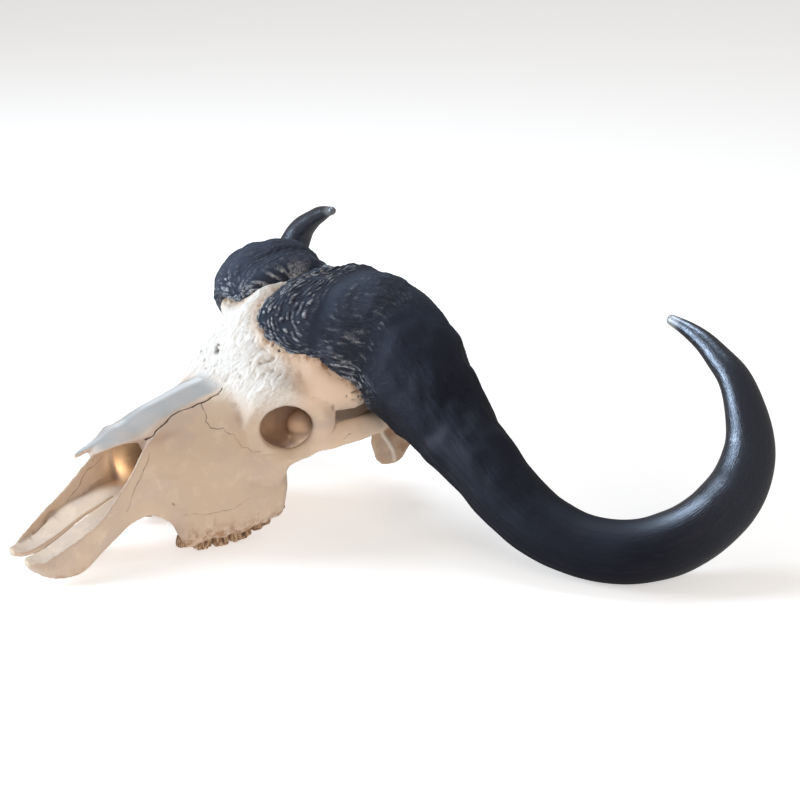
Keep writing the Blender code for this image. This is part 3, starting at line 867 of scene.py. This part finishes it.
def opened(points, normals):
    """How deep each point lies in a crack or a small hole, and how dark its painted shade is there."""
    depths, dark = np.zeros(len(points)), np.zeros(len(points))
    moved = points + wobble(points)
    broken = 0.75 + 0.25 * ramp(noise(points, 6, 341), -0.5, 0.3)
    for depth, half, line in CRACKS:
        in_crack = broken * ramp(line_distance(moved, line, normals), half + 0.6, half * 0.6)
        depths += depth * in_crack
        dark = np.maximum(dark, in_crack * min(1.0, 0.3 + 0.6 * depth))
    for middle, radius, depth in PITS:
        in_pit = near(points, middle, radius + 0.7, radius * 0.5)
        depths += depth * in_pit
        dark = np.maximum(dark, in_pit * min(1.0, depth / 2))
    return depths, dark


def hang_gums(points):
    """Let the bone hang lower over the cheek teeth, and stand out over the front ones."""
    x, y, z = points.T
    gums = ramp(z, 34, 18) * ramp(y, 158, 169) * ramp(abs(x), 44, 52)
    out = np.sign(x) * FRONT_GUM_OUT * gums * ramp(y, 202, 186)
    down = GUM_DROP * gums * (1 + 0.6 * ramp(y, 194, 178))
    return points + np.column_stack([out, np.zeros(len(points)), -down])


def bone_relief(mesh, by_horn):
    """Give the bone its surface detail, and store what belongs to it for the material."""
    points, normals = mesh_points(mesh)
    fibrous = forehead_share(points)
    fibres, streaks = fibre_relief(points, fibrous)
    depths, dark = opened(points, normals)
    height = 0.45 * noise(points, 22, 321) + 0.16 * noise(points, 7, 322)
    height += fibres + tooth_bulges(points) + eye_rim_relief(points) + edge_relief(points, normals) - depths
    for rise, half, line in BROW_FORMS + FINE_FORMS:
        height += rise * swell(line_distance(points, line), half)
    height += 1.3 * ramp(by_horn, 12, 2) * noise(points, 4, 351)
    set_points(mesh, hang_gums(points + normals * height[:, None]))
    store(mesh, {"deep": dark, "fibrous": fibrous * ramp(by_horn, 3, 18), "streaks": streaks / 100})


def inside_share(points):
    """1 deep in the nose and in the eye sockets, and 0 outside."""
    x, y, z = points.T
    nose = ramp(y, 118, 150) * ramp(abs(x), 46, 40) * ramp(z, 140, 128) * ramp(y, 330, 250)
    from_centre = on_left(points) - ORBIT_CENTRE
    inwards = from_centre @ ORBIT_FACING
    off_axis = np.linalg.norm(from_centre - inwards[:, None] * ORBIT_FACING, axis=1)
    eye = ramp(off_axis, 38, 32) * ramp(inwards, 3, -5) * ramp(inwards, -110, -90)
    return np.maximum(nose, eye)


def horn_distance(points, horns):
    """Distance from each point to the nearest horn, where it is near."""
    places = np.concatenate(horns)
    places = places[places[:, 1] < HORN_BACK]
    tree = KDTree(len(places))
    for i, place in enumerate(places):
        tree.insert(place, i)
    tree.balance()
    distance = np.full(len(points), HORN_FAR)
    for i in np.nonzero(points[:, 1] > HORN_FRONT)[0]:
        distance[i] = min(HORN_FAR, tree.find(points[i])[2])
    return distance


def soften_below_eye(mesh):
    """Let the cheek arch flow into the side of the face."""
    points, _ = mesh_points(mesh)
    x, y, z = points.T
    share = ramp(abs(x), 62, 74) * ramp(y, 248, 264) * ramp(y, 352, 330) * ramp(z, 48, 62) * ramp(z, 106, 94)
    set_points(mesh, points + share[:, None] * (smoothed(mesh, points, rounds=60) - points))


def face_masks(points, normals):
    """Nose and palate faces turned up: painted shade and highlight. Left brow and cheek arch: warm painted
    light.
    """
    x, y, z = points.T
    nose = ramp(abs(x), 42, 24) * (1 - 0.12 * ramp(x, -12, 6)) * ramp(z, 95, 115) * ramp(y, 290, 265)
    palate = 0.55 * ramp(y, 130, 40) * ramp(z, 62, 45)
    # Painted light on the left brow and on the cheek arch.
    brow = ramp(z, 138, 160) * ramp(y, 300, 335) * ramp(x, 60, 85)
    arch = 0.6 * ramp(x, 92, 102) * ramp(y, 318, 332) * ramp(z, 128, 118)
    return {"upward_painted_light": normals[:, 2] * np.maximum(nose, palate), "brow_arch_painted_light": np.maximum(brow, arch)}


def socket_masks(points):
    """Painted shade in the hollows and on the bone behind the eye sockets; painted light on swellings in
    them.
    """
    x, y, z = points.T
    one_side = on_left(points)
    inside_painted_shade = inside_share(points)
    # Painted light on the swelling and on the plate in each eye socket.
    socket_painted_light = near(one_side, SOCKET_BALL, 24, 19) * ramp(y, 345, 335) * (0.4 + 0.6 * ramp(z, 125, 117))
    plate = 0.6 * near(one_side, SOCKET_PLATE, 19, 14)
    # Painted shade behind the slit of the temple and on the floor of each eye socket.
    temple = ramp(abs(x), 112, 104) * ramp(y, 346, 354) * ramp(y, 440, 420)
    temple *= ramp(z, 96, 106) * ramp(z, 148, 142)
    floor = 0.5 * near(one_side, SOCKET_FLOOR, 36, 26) * ramp(z, 113, 106) * inside_painted_shade
    return {"inside_painted_shade": inside_painted_shade, "socket_painted_light": np.maximum(socket_painted_light, plate), "temple": np.maximum(temple, floor)}


def low_masks(points, by_horn):
    """The pale crest and brown face of the neck flap, and the stains by the horns, teeth and muzzle."""
    x, y, z = points.T
    _, crest_y, crest_z = np.array(FLAP_CREST[::-1]).T
    behind_crest = y - np.interp(z, crest_z, crest_y)
    on_flap = ramp(abs(x), 68, 76) * ramp(y, 420, 430) * ramp(z, 106, 92)
    teeth = 0.95 * ramp(z, 32, 8) * ramp(y, 160, 172) * ramp(abs(x), 44, 56)
    muzzle = 0.8 * ramp(z, 10, -2) * ramp(y, 70, 45)
    return {
        "pale": swell(line_distance(on_left(points), FLAP_CREST), 2.6),
        "flap": on_flap * (0.45 + 0.5 * ramp(behind_crest, -1, 3)),
        "stain": np.max([ramp(by_horn, 9, 1.5), teeth, muzzle], axis=0),
    }


def make_skull(horns):
    skull = skull_shape()
    thin_out(skull, BONE_TRIANGLES)
    mesh = skull.data
    soften_below_eye(mesh)
    divide_edges(mesh, lambda points: forehead_share(points) > 0.2, FOREHEAD_EDGE)
    for reach in (5, 3, 2, 1, 0.7):
        divide_edges(mesh, lambda points: crack_distance(points) < CRACK_REACH * reach, CRACK_EDGE)
    for reach in (2.5, 1.5, 1):
        for _, _, line in FINE_FORMS:
            divide_edges(mesh, lambda points: line_distance(points, line) < FINE_REACH * reach, FINE_EDGE)
    shade_smooth(mesh)
    by_horn = horn_distance(mesh_points(mesh)[0], horns)
    bone_relief(mesh, by_horn)
    points, normals = mesh_points(mesh)
    store(mesh, {"hollow": hollow_depth(mesh, points, normals)})
    store(mesh, face_masks(points, normals) | socket_masks(points) | low_masks(points, by_horn))
    mesh.materials.append(bone_material())
    return skull


def horn_rings(boss, bend_shift):
    """The smooth horn."""
    path = np.array([centre for centre, *_ in boss + HORN_PATH], float)
    sizes = np.array([half for _, *half in boss + HORN_PATH], float)
    shifted = np.interp(np.arange(len(path)) - len(boss), BEND_STEPS, (0, 1, 1, 0))
    path += np.outer(shifted, bend_shift)
    return tube_rings(path, sizes, (0, -1, 0), HORN_AROUND, HORN_ALONG, blunt=0.9, crowd=1.6)


def boss_relief(s, w, place, seed, smooth_top):
    """Height of the rough boss, how rough each point is and how much it stands out.

    Its ridges run round the inner and lower borders, and each one is broken into knobs of its own. Each point
    lies s along the horn and w round it from below.
    """
    below = np.maximum(w - BOSS_LOWER_BORDER, 1.0)
    inwards = -RIDGE_TURN * np.log(np.exp(-s / RIDGE_TURN) + np.exp(-below / RIDGE_TURN))
    wander = 3.0 * noise(place, 26, seed) + 2.0 * noise(place, 10, seed + 1)
    across = (inwards + wander) / RIDGE_STEP
    row = np.floor(across)
    ridges = np.abs(np.sin(math.pi * across)) ** 0.8
    knob_at = np.column_stack([row * 3.7, (w - s) / KNOB_LENGTH + row * 0.31, row * 1.3])
    knobs = 0.25 + 0.75 * ramp(noise(knob_at, 1.0, seed + 2), -0.45, 0.35)
    grit = noise(place, 4.2, seed + 3)
    smooth_band = swell(s - SMOOTH_BAND_AT, SMOOTH_BAND_HALF) * ramp(w, 85, 120)
    second_band = swell(s - SECOND_BAND_AT, SECOND_BAND_HALF) * (1 - smooth_top)
    low_border = ramp(below, 50, 25) * ramp(s, 210, 130)
    rough = ramp(s, 104, 76) + 0.95 * second_band + 0.6 * low_border + 0.22 * ramp(s, 300, 150)
    on_top = np.maximum(ramp(w, 70, 105), 0.8 * ramp(s, 50, 80))
    rough = np.clip(rough, 0, 1) * (1 - 0.92 * smooth_band) * (1 - smooth_top * on_top)
    steps = 2.0 * second_band * ramp(w, 60, 120) - 2.5 * smooth_band
    flakes = 0.5 + 0.5 * noise(place * (0.22, 1, 1), 3.4, seed + 5)
    by_border = np.exp(-np.maximum(inwards, 0) / 40)
    crest = (ridges * knobs * (1 - second_band) + flakes * second_band) * (0.58 + 0.95 * by_border)
    return rough * ((3.0 + 1.6 * by_border) * (crest - 0.5) + 0.9 * grit) + steps, rough, crest


def shaft_relief(s, turn, place, seed):
    """Height of the fibres, flakes and long creases further along the horn."""
    along = place * (0.06, 1.0, 1.0)
    share = ramp(s, 40, 130) * ramp(s, 600, 330)
    fibres = 0.4 * noise(along, 3.0, seed + 10) + 0.6 * noise(along, 7.0, seed + 11)
    scales = noise(place * (0.22, 1, 1), 13, seed + 12)
    flakes = ramp(scales, 0.1, 0.3) * ramp(s, 440, 240)
    bumps = 0.5 * noise(place * (0.4, 1, 1), 8, seed + 16) * ramp(s, 460, 260) * ramp(s, 90, 140)
    keel = ramp(s, 165, 215) * ramp(s, 480, 400)
    wander = 0.05 * noise(place, 45, seed + 13)
    creases = np.zeros(len(s))
    for angle, half, height in HORN_CREASES:
        off = (turn - math.radians(angle) - wander) * HORN_MEAN_RADIUS
        creases += height * swell(off, half)
    rings = 0.5 * noise(np.column_stack([s, s * 0, s * 0]), 26, seed + 14) * ramp(s, 300, 450)
    return share * (0.8 * fibres + 0.35 * flakes + bumps) + keel * creases + rings * ramp(s, 1100, 900)


def horn_places(rings):
    """Each point's distance along a horn, angle above its front, radius, and place on a straight one."""
    middles = rings.mean(axis=1)
    s = np.repeat(curve_lengths(middles), HORN_AROUND)
    turn = np.tile(np.arange(HORN_AROUND) * 2 * math.pi / HORN_AROUND, len(rings))
    turn = np.where(turn > math.pi * 1.5, turn - 2 * math.pi, turn)
    reach = np.linalg.norm(rings - middles[:, None], axis=2)
    radius = np.repeat(reach.mean(axis=1), HORN_AROUND)
    return s, turn, radius, np.column_stack([s, radius * np.cos(turn), radius * np.sin(turn)])


def make_horn(side, turn_over, boss, bend_shift, seed, smooth_top, pale):
    rings = horn_rings(boss, bend_shift)
    s, turn, radius, place = horn_places(rings)
    points = rings.reshape(-1, 3)
    middles = np.repeat(rings.mean(axis=1), HORN_AROUND, axis=0)
    fade = np.clip(1 - s / BOSS_END, 0, 1) ** 0.7
    lumps = noise(points, LUMP_SIZE, LUMP_SEED)
    lumps += 0.5 * noise(points, LUMP_SIZE / 2, LUMP_SEED + 1)
    boss_height, rough, crest = boss_relief(s, radius * (turn + math.pi / 2), place, seed, smooth_top)
    height = LUMP_HEIGHT * fade * lumps + boss_height + shaft_relief(s, turn, place, seed)
    points = points + unit(points - middles) * height[:, None]
    points[:, 0] = np.maximum(points[:, 0], HORN_GAP / 2)
    horn = closed_object(side + "_horn_sheath", [turn_over(points.reshape(rings.shape))])
    mesh = horn.data
    shade_smooth(mesh)
    tip = pale * ramp(s, s.max() - PALE_TIP, s.max() - PALE_TIP / 3)
    store(mesh, {"boss": 0.8 * ramp(s, 280, 110), "distal": ramp(s, 480, 700), "tip": tip})
    store(mesh, {"rough": rough, "crest": crest, "place": place / 100})
    mesh.materials.append(horn_material())
    return horn


# Cheek teeth: name, front, back, distance from the middle, width, height of the biting face at its front and
# back, and height of the root's top.
TOOTH_ROW = [
    ("premolar_2", 171, 187, 58, 12, 2, 0, 15),
    ("premolar_3", 190, 211, 63, 15, -5, -6, 27),
    ("premolar_4", 213, 231, 66, 17, -6, -6, 27),
    ("molar_1", 233, 261, 68, 19, -6, -2, 27),
    ("molar_2", 263, 287, 68, 20, 0, 7, 27),
    ("molar_3", 289, 309, 66, 18, 9, 20, 27),
]

# A tooth's points round a ring, its sizes at shares of the way down from the root, and its rings' levels.
TOOTH_CORNERS = 72
TOOTH_SIZES = ((0.0, 0.6, 0.9, 0.97, 1.0), (0.8, 1.03, 1.02, 0.92, 0.74))
TOOTH_LEVELS = (0.0, 0.15, 0.3, 0.45, 0.55, 0.65, 0.72, 0.79, 0.85, 0.9, 0.94, 0.97, 0.99, 1.0)


def tooth_rings(front, back, x, width, bite_front, bite_back, root_top):
    """A worn cheek tooth from the root's top to the biting face, with two lobes and a furrow between them."""
    angle = (np.arange(TOOTH_CORNERS) + 0.5) * 2 * math.pi / TOOTH_CORNERS
    across = np.sign(np.cos(angle)) * np.abs(np.cos(angle)) ** 0.6
    along = np.sign(np.sin(angle)) * np.abs(np.sin(angle)) ** 0.6
    middle, half = (front + back) / 2, (back - front) / 2
    lobes = 1 - 0.2 * swell(along, 0.2) - 0.09 * np.cos(along * 13)
    rings = []
    for part in TOOTH_LEVELS:
        size = np.interp(part, *TOOTH_SIZES)
        y = middle + along * half * size
        bite = bite_front + (bite_back - bite_front) * (y - front) / (back - front)
        z = root_top + (bite - root_top) * part
        places = np.column_stack([x + across * width / 2 * size * lobes, y, z])
        chips = part * noise(places * (1, 1, 0), 3.6, int(front))
        places[:, 2] += np.where(part > 0.8, 2.6 * abs(chips), 0)
        places[:, 1] += 0.4 * noise(places, 5, int(back))
        rings.append(places)
    return np.array(rings)


def make_tooth(side, name, turn_over, place):
    tooth = closed_object(side + "_" + name + "_crown", [turn_over(tooth_rings(*place))])
    shade_smooth(tooth.data)
    points, normals = mesh_points(tooth.data)
    hollow = hollow_depth(tooth.data, points, normals, rounds=6)
    store(tooth.data, {"hollow": hollow, "root": ramp(points[:, 2], 2, 14)})
    tooth.data.materials.append(tooth_material())
    return tooth


class Nodes:
    """Short calls for building one material's nodes."""

    def __init__(self, name):
        self.material = bpy.data.materials.new(name)
        self.material.use_nodes = True
        self.tree = self.material.node_tree
        self.shader = self.tree.nodes["Principled BSDF"]

    def put(self, kind, **values):
        """A node with constants or links on its inputs."""
        node = self.tree.nodes.new(kind)
        for key, value in values.items():
            self.feed(node, key.replace("_", " "), value)
        return node

    def feed(self, node, key, value):
        if isinstance(value, bpy.types.NodeSocket):
            self.tree.links.new(value, node.inputs[key])
        else:
            node.inputs[key].default_value = value

    def attribute(self, name, output="Fac"):
        node = self.tree.nodes.new("ShaderNodeAttribute")
        node.attribute_name = name
        return node.outputs[output]

    def place(self, scale=(1, 1, 1), vector=None):
        """Coordinates, stretched. Without a vector they are metres in the object."""
        if vector is None:
            vector = self.put("ShaderNodeTexCoord").outputs["Object"]
        return self.put("ShaderNodeMapping", Vector=vector, Scale=scale).outputs["Vector"]

    def noise(self, vector, scale, detail, rough, warp=0.0):
        node = self.put("ShaderNodeTexNoise", Vector=vector, Scale=scale, Detail=detail)
        self.feed(node, "Roughness", rough)
        self.feed(node, "Distortion", warp)
        return node.outputs["Fac"]

    def ramp(self, value, low, high, to_low=0.0, to_high=1.0):
        limits = {"From Min": low, "From Max": high, "To Min": to_low, "To Max": to_high}
        node = self.put("ShaderNodeMapRange", Value=value, **limits)
        node.interpolation_type = "SMOOTHSTEP"
        return node.outputs["Result"]

    def math(self, operation, first, second):
        node = self.tree.nodes.new("ShaderNodeMath")
        node.operation = operation
        self.feed(node, 0, first)
        self.feed(node, 1, second)
        return node.outputs[0]

    def times(self, first, second):
        return self.math("MULTIPLY", first, second)

    def plus(self, first, second):
        return self.math("ADD", first, second)

    def mix(self, share, first, second):
        """The first colour, with the second over it by the share: the node's inputs 6, 7 and 0."""
        node = self.tree.nodes.new("ShaderNodeMix")
        node.data_type = "RGBA"
        for index, value in ((0, share), (6, first), (7, second)):
            if isinstance(value, tuple):
                value = (*value, 1.0)
            self.feed(node, index, value)
        return node.outputs[2]

    def cover(self, color, mask, share, over):
        """A colour with another over it where a mask is."""
        return self.mix(self.times(self.attribute(mask), share), color, over)

    def bump(self, height, strength, distance, **below):
        """Relief, over the normal of the relief below it."""
        node = self.put("ShaderNodeBump", Height=height, Strength=strength, Distance=distance, **below)
        return node.outputs["Normal"]

    def finish(self, color, roughness, normal):
        self.feed(self.shader, "Base Color", color)
        self.feed(self.shader, "Roughness", roughness)
        self.feed(self.shader, "Normal", normal)
        return self.material


def bone_material():
    """Dry bone: bleached, with painted highlight and shade, where it faces up; warm sides; brown by horns and
    teeth.
    """
    n = Nodes("dry_bone")
    blotch = n.noise(n.place(), 22, 3, 0.5)
    cloud = n.noise(n.place(), 55, 5, 0.6)
    grain = n.noise(n.place(), 900, 3, 0.6)
    wool = n.noise(n.attribute("streaks", "Vector"), 30, 5, 0.62, 0.6)
    spots = n.noise(n.place(), 130, 4, 0.65)
    upward_painted_light = n.attribute("upward_painted_light")
    patchy_painted_shade = n.plus(upward_painted_light, n.times(n.math("SUBTRACT", cloud, 0.5), 0.3))
    crust = n.mix(n.ramp(wool, 0.36, 0.56), (0.74, 0.68, 0.61), (0.91, 0.895, 0.865))
    # Colours of the painted shade in the nose and the eye sockets.
    inner = n.mix(n.ramp(cloud, 0.42, 0.62), (0.54, 0.35, 0.25), (0.43, 0.31, 0.265))
    flap = n.mix(n.ramp(cloud, 0.4, 0.6), (0.4, 0.23, 0.13), (0.54, 0.37, 0.24))
    color = n.mix(n.ramp(blotch, 0.4, 0.62), (0.64, 0.5, 0.375), (0.6, 0.475, 0.385))
    color = n.mix(n.ramp(cloud, 0.5, 0.72), color, (0.7, 0.56, 0.43))
    # Nose and palate: grey where they face partly up, white where they face straight up: painted shade and
    # highlight.
    color = n.mix(n.ramp(patchy_painted_shade, 0.5, 0.9), color, (0.36, 0.358, 0.357))
    color = n.mix(n.ramp(upward_painted_light, 0.86, 1.0), color, (0.74, 0.74, 0.735))
    color = n.cover(color, "fibrous", 0.92, crust)
    # Lighter and warmer on the left brow and cheek arch: painted light where they lie in shade.
    color = n.cover(color, "brow_arch_painted_light", 0.8, (0.86, 0.65, 0.5))
    # Darker in the nose and the eye sockets: painted shade.
    color = n.cover(color, "inside_painted_shade", 0.75, inner)
    # Bright on the swelling and the plate in each eye socket: painted light.
    color = n.cover(color, "socket_painted_light", 0.95, (0.9, 0.66, 0.47))
    # Nearly black behind the temple slit and on the socket floors: painted shade.
    color = n.cover(color, "temple", 0.85, (0.17, 0.115, 0.08))
    color = n.cover(color, "stain", n.ramp(spots, 0.42, 0.66), (0.36, 0.185, 0.095))
    color = n.cover(color, "flap", 1.0, flap)
    color = n.cover(color, "pale", 0.85, (0.9, 0.82, 0.72))
    # Darker in hollows: painted shade, with some dirt.
    color = n.mix(n.ramp(n.attribute("hollow"), 0.18, 1.3, 0.0, 0.6), color, (0.33, 0.22, 0.15))
    # Nearly black in cracks and small holes: painted shade.
    color = n.mix(n.ramp(n.attribute("deep"), 0.15, 0.8, 0.0, 0.95), color, (0.06, 0.035, 0.025))
    normal = n.bump(n.noise(n.place(), 240, 5, 0.6), 0.3, 0.0009)
    normal = n.bump(grain, 0.25, 0.0004, Normal=normal)
    normal = n.bump(n.times(wool, n.attribute("fibrous")), 0.9, 0.0045, Normal=normal)
    return n.finish(color, n.ramp(grain, 0.3, 0.7, 0.5, 0.68), normal)


def horn_material():
    """Black horn with a blue cast, brown fibres along it and a dusty, duller boss with painted sheen."""
    if "black_horn" in bpy.data.materials:
        return bpy.data.materials["black_horn"]
    n = Nodes("black_horn")
    along = n.attribute("place", "Vector")
    rough = n.attribute("rough")
    distal = n.attribute("distal")
    fibre = n.noise(n.place((1.2, 22, 22), along), 3.0, 5, 0.6, 0.4)
    broad = n.noise(n.place((0.5, 2.5, 2.5), along), 2.0, 4, 0.55)
    grit = n.noise(n.place((0.35, 1.0, 1.0), along), 30, 5, 0.7, 0.6)
    speck = n.noise(n.place(), 420, 3, 0.6)
    # Pale on the ridge tops of the rough boss: dust, and a painted sheen.
    dust_and_sheen = n.times(n.ramp(rough, 0.15, 0.9), n.ramp(speck, 0.4, 0.62, 0.45, 1.0))
    dust_and_sheen = n.times(dust_and_sheen, n.ramp(grit, 0.44, 0.56, 0.25, 1.0))
    dust_and_sheen = n.times(dust_and_sheen, n.ramp(n.attribute("crest"), 0.38, 0.88, 0.04, 1.0))
    brown = n.times(n.ramp(broad, 0.5, 0.95), n.ramp(fibre, 0.4, 0.7))
    color = n.mix(n.ramp(fibre, 0.45, 0.75), (0.006, 0.0065, 0.014), (0.012, 0.012, 0.022))
    color = n.mix(brown, color, (0.034, 0.022, 0.017))
    # Bluer and lighter over the boss: its duller surface, and partly a painted sheen.
    color = n.mix(n.attribute("boss"), color, (0.022, 0.028, 0.05))
    color = n.mix(dust_and_sheen, color, (0.62, 0.65, 0.7))
    color = n.mix(n.attribute("tip"), color, (0.42, 0.43, 0.45))
    shine = n.plus(n.ramp(fibre, 0.3, 0.8, 0.25, 0.34), n.times(rough, 0.4))
    shine = n.plus(shine, n.ramp(distal, 0.0, 0.6, 0.34, 0.0))
    normal = n.bump(fibre, 0.28, 0.0014)
    normal = n.bump(n.noise(n.place(), 260, 4, 0.6), 0.3, 0.001, Normal=normal)
    normal = n.bump(n.times(grit, rough), 0.9, 0.006, Normal=normal)
    gloss = n.plus(n.ramp(distal, 0.0, 1.0, 0.22, 1.0), n.times(rough, 0.2))
    n.feed(n.shader, "Specular IOR Level", gloss)
    n.shader.inputs["IOR"].default_value = 1.6
    n.shader.inputs["Specular Tint"].default_value = (0.74, 0.84, 1.0, 1.0)
    return n.finish(color, shine, normal)


def tooth_material():
    """Worn enamel, yellow-brown, darker in its furrows and towards the root."""
    if "worn_tooth" in bpy.data.materials:
        return bpy.data.materials["worn_tooth"]
    n = Nodes("worn_tooth")
    cloud = n.noise(n.place(), 170, 4, 0.6)
    streak = n.noise(n.place((1, 1, 0.15)), 520, 3, 0.6)
    color = n.mix(n.ramp(cloud, 0.44, 0.6), (0.54, 0.38, 0.24), (0.27, 0.14, 0.07))
    color = n.mix(n.ramp(streak, 0.52, 0.66, 0.0, 0.8), color, (0.13, 0.065, 0.035))
    color = n.mix(n.ramp(streak, 0.4, 0.3, 0.0, 0.5), color, (0.72, 0.64, 0.52))
    color = n.cover(color, "root", 0.5, (0.2, 0.105, 0.055))
    color = n.mix(n.ramp(n.attribute("hollow"), 0.05, 0.5, 0.0, 0.9), color, (0.08, 0.038, 0.02))
    normal = n.bump(streak, 0.4, 0.0006)
    return n.finish(color, n.ramp(cloud, 0.3, 0.7, 0.32, 0.55), normal)


def floor_material():
    """Plain pale grey, which also shines a little by itself."""
    n = Nodes("floor")
    n.shader.inputs["Base Color"].default_value = FLOOR_COLOR
    n.shader.inputs["Roughness"].default_value = FLOOR_ROUGHNESS
    n.shader.inputs["Emission Color"].default_value = (1.0, 1.0, 1.0, 1.0)
    n.shader.inputs["Emission Strength"].default_value = FLOOR_LIGHT
    return n.material


def camera_axes():
    """Directions to the right, up and back of the camera."""
    azimuth, elevation, roll = (math.radians(a) for a in (CAMERA_AZIMUTH, CAMERA_ELEVATION, CAMERA_ROLL))
    level = math.cos(elevation)
    back = Vector((math.sin(azimuth) * level, -math.cos(azimuth) * level, math.sin(elevation)))
    right = Vector((math.cos(azimuth), math.sin(azimuth), 0.0))
    up = back.cross(right)
    turned_right = math.cos(roll) * right + math.sin(roll) * up
    turned_up = -math.sin(roll) * right + math.cos(roll) * up
    return turned_right, turned_up, back


def make_camera():
    data = bpy.data.cameras.new("camera")
    camera = new_object("camera", data)
    turn = Matrix(camera_axes()).transposed().to_4x4()
    camera.matrix_world = Matrix.Translation(Vector(to_frame(CAMERA_AT))) @ turn
    data.sensor_fit = "HORIZONTAL"
    data.sensor_width = SENSOR
    data.lens = SENSOR * FOCAL_LENGTH
    data.clip_end = VIEW_END
    bpy.context.scene.camera = camera


def make_floor():
    mesh = bpy.data.meshes.new("floor")
    half = FLOOR_HALF
    corners = [(-half, -half, 0), (half, -half, 0), (half, half, 0), (-half, half, 0)]
    mesh.from_pydata(corners, [], [(0, 1, 2, 3)])
    mesh.materials.append(floor_material())
    floor = new_object("floor", mesh)
    floor.visible_glossy = False


def soft_light(name, at, towards, size, power, color, in_gloss, in_matt):
    data = bpy.data.lights.new(name, "AREA")
    data.shape = "DISK"
    data.size = size
    data.energy = power
    data.color = color
    light = new_object(name, data)
    light.location = at
    light.visible_glossy = in_gloss
    light.visible_diffuse = in_matt
    light.rotation_euler = (Vector(towards) - Vector(at)).to_track_quat("-Z", "Y").to_euler()


def make_light():
    world = bpy.data.worlds.new("world")
    world.use_nodes = True
    sky = world.node_tree.nodes["Background"]
    sky.inputs["Color"].default_value = WORLD_COLOR
    sky.inputs["Strength"].default_value = WORLD_STRENGTH
    bpy.context.scene.world = world
    for light in LIGHTS:
        soft_light(*light)
    glow = bpy.data.lights.new("nose_glow", "POINT")
    glow.energy = NOSE_GLOW_POWER
    glow.color = NOSE_GLOW_COLOR
    glow.shadow_soft_size = NOSE_GLOW_RADIUS
    new_object("nose_glow", glow).location = to_frame(NOSE_GLOW_AT)
    bpy.context.scene.view_settings.view_transform = "Standard"


# Sides: name, how points get there, boss, shift of the low bend, seed of the relief, how smooth the boss is
# on top, and how pale the tip is.
SIDES = [
    ("left", np.asarray, LEFT_BOSS, (0, 0, 0), 20, 0.0, 0.9),
    ("right", mirrored, RIGHT_BOSS, RIGHT_BEND_SHIFT, 60, RIGHT_SMOOTH_TOP, 0.3),
]


def settle(piece, node):
    """Let a piece stand for a CAD node."""
    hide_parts(node)
    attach(piece, "root")


def build():
    make_camera()
    make_floor()
    make_light()
    horns = []
    for side, turn_over, *horn_values in SIDES:
        horn = make_horn(side, turn_over, *horn_values)
        horns.append(mesh_points(horn.data)[0])
        settle(horn, side + "_horn")
        for name, *place in TOOTH_ROW:
            settle(make_tooth(side, name, turn_over, place), side + "_" + name)
    settle(make_skull(horns), "skull")


build()
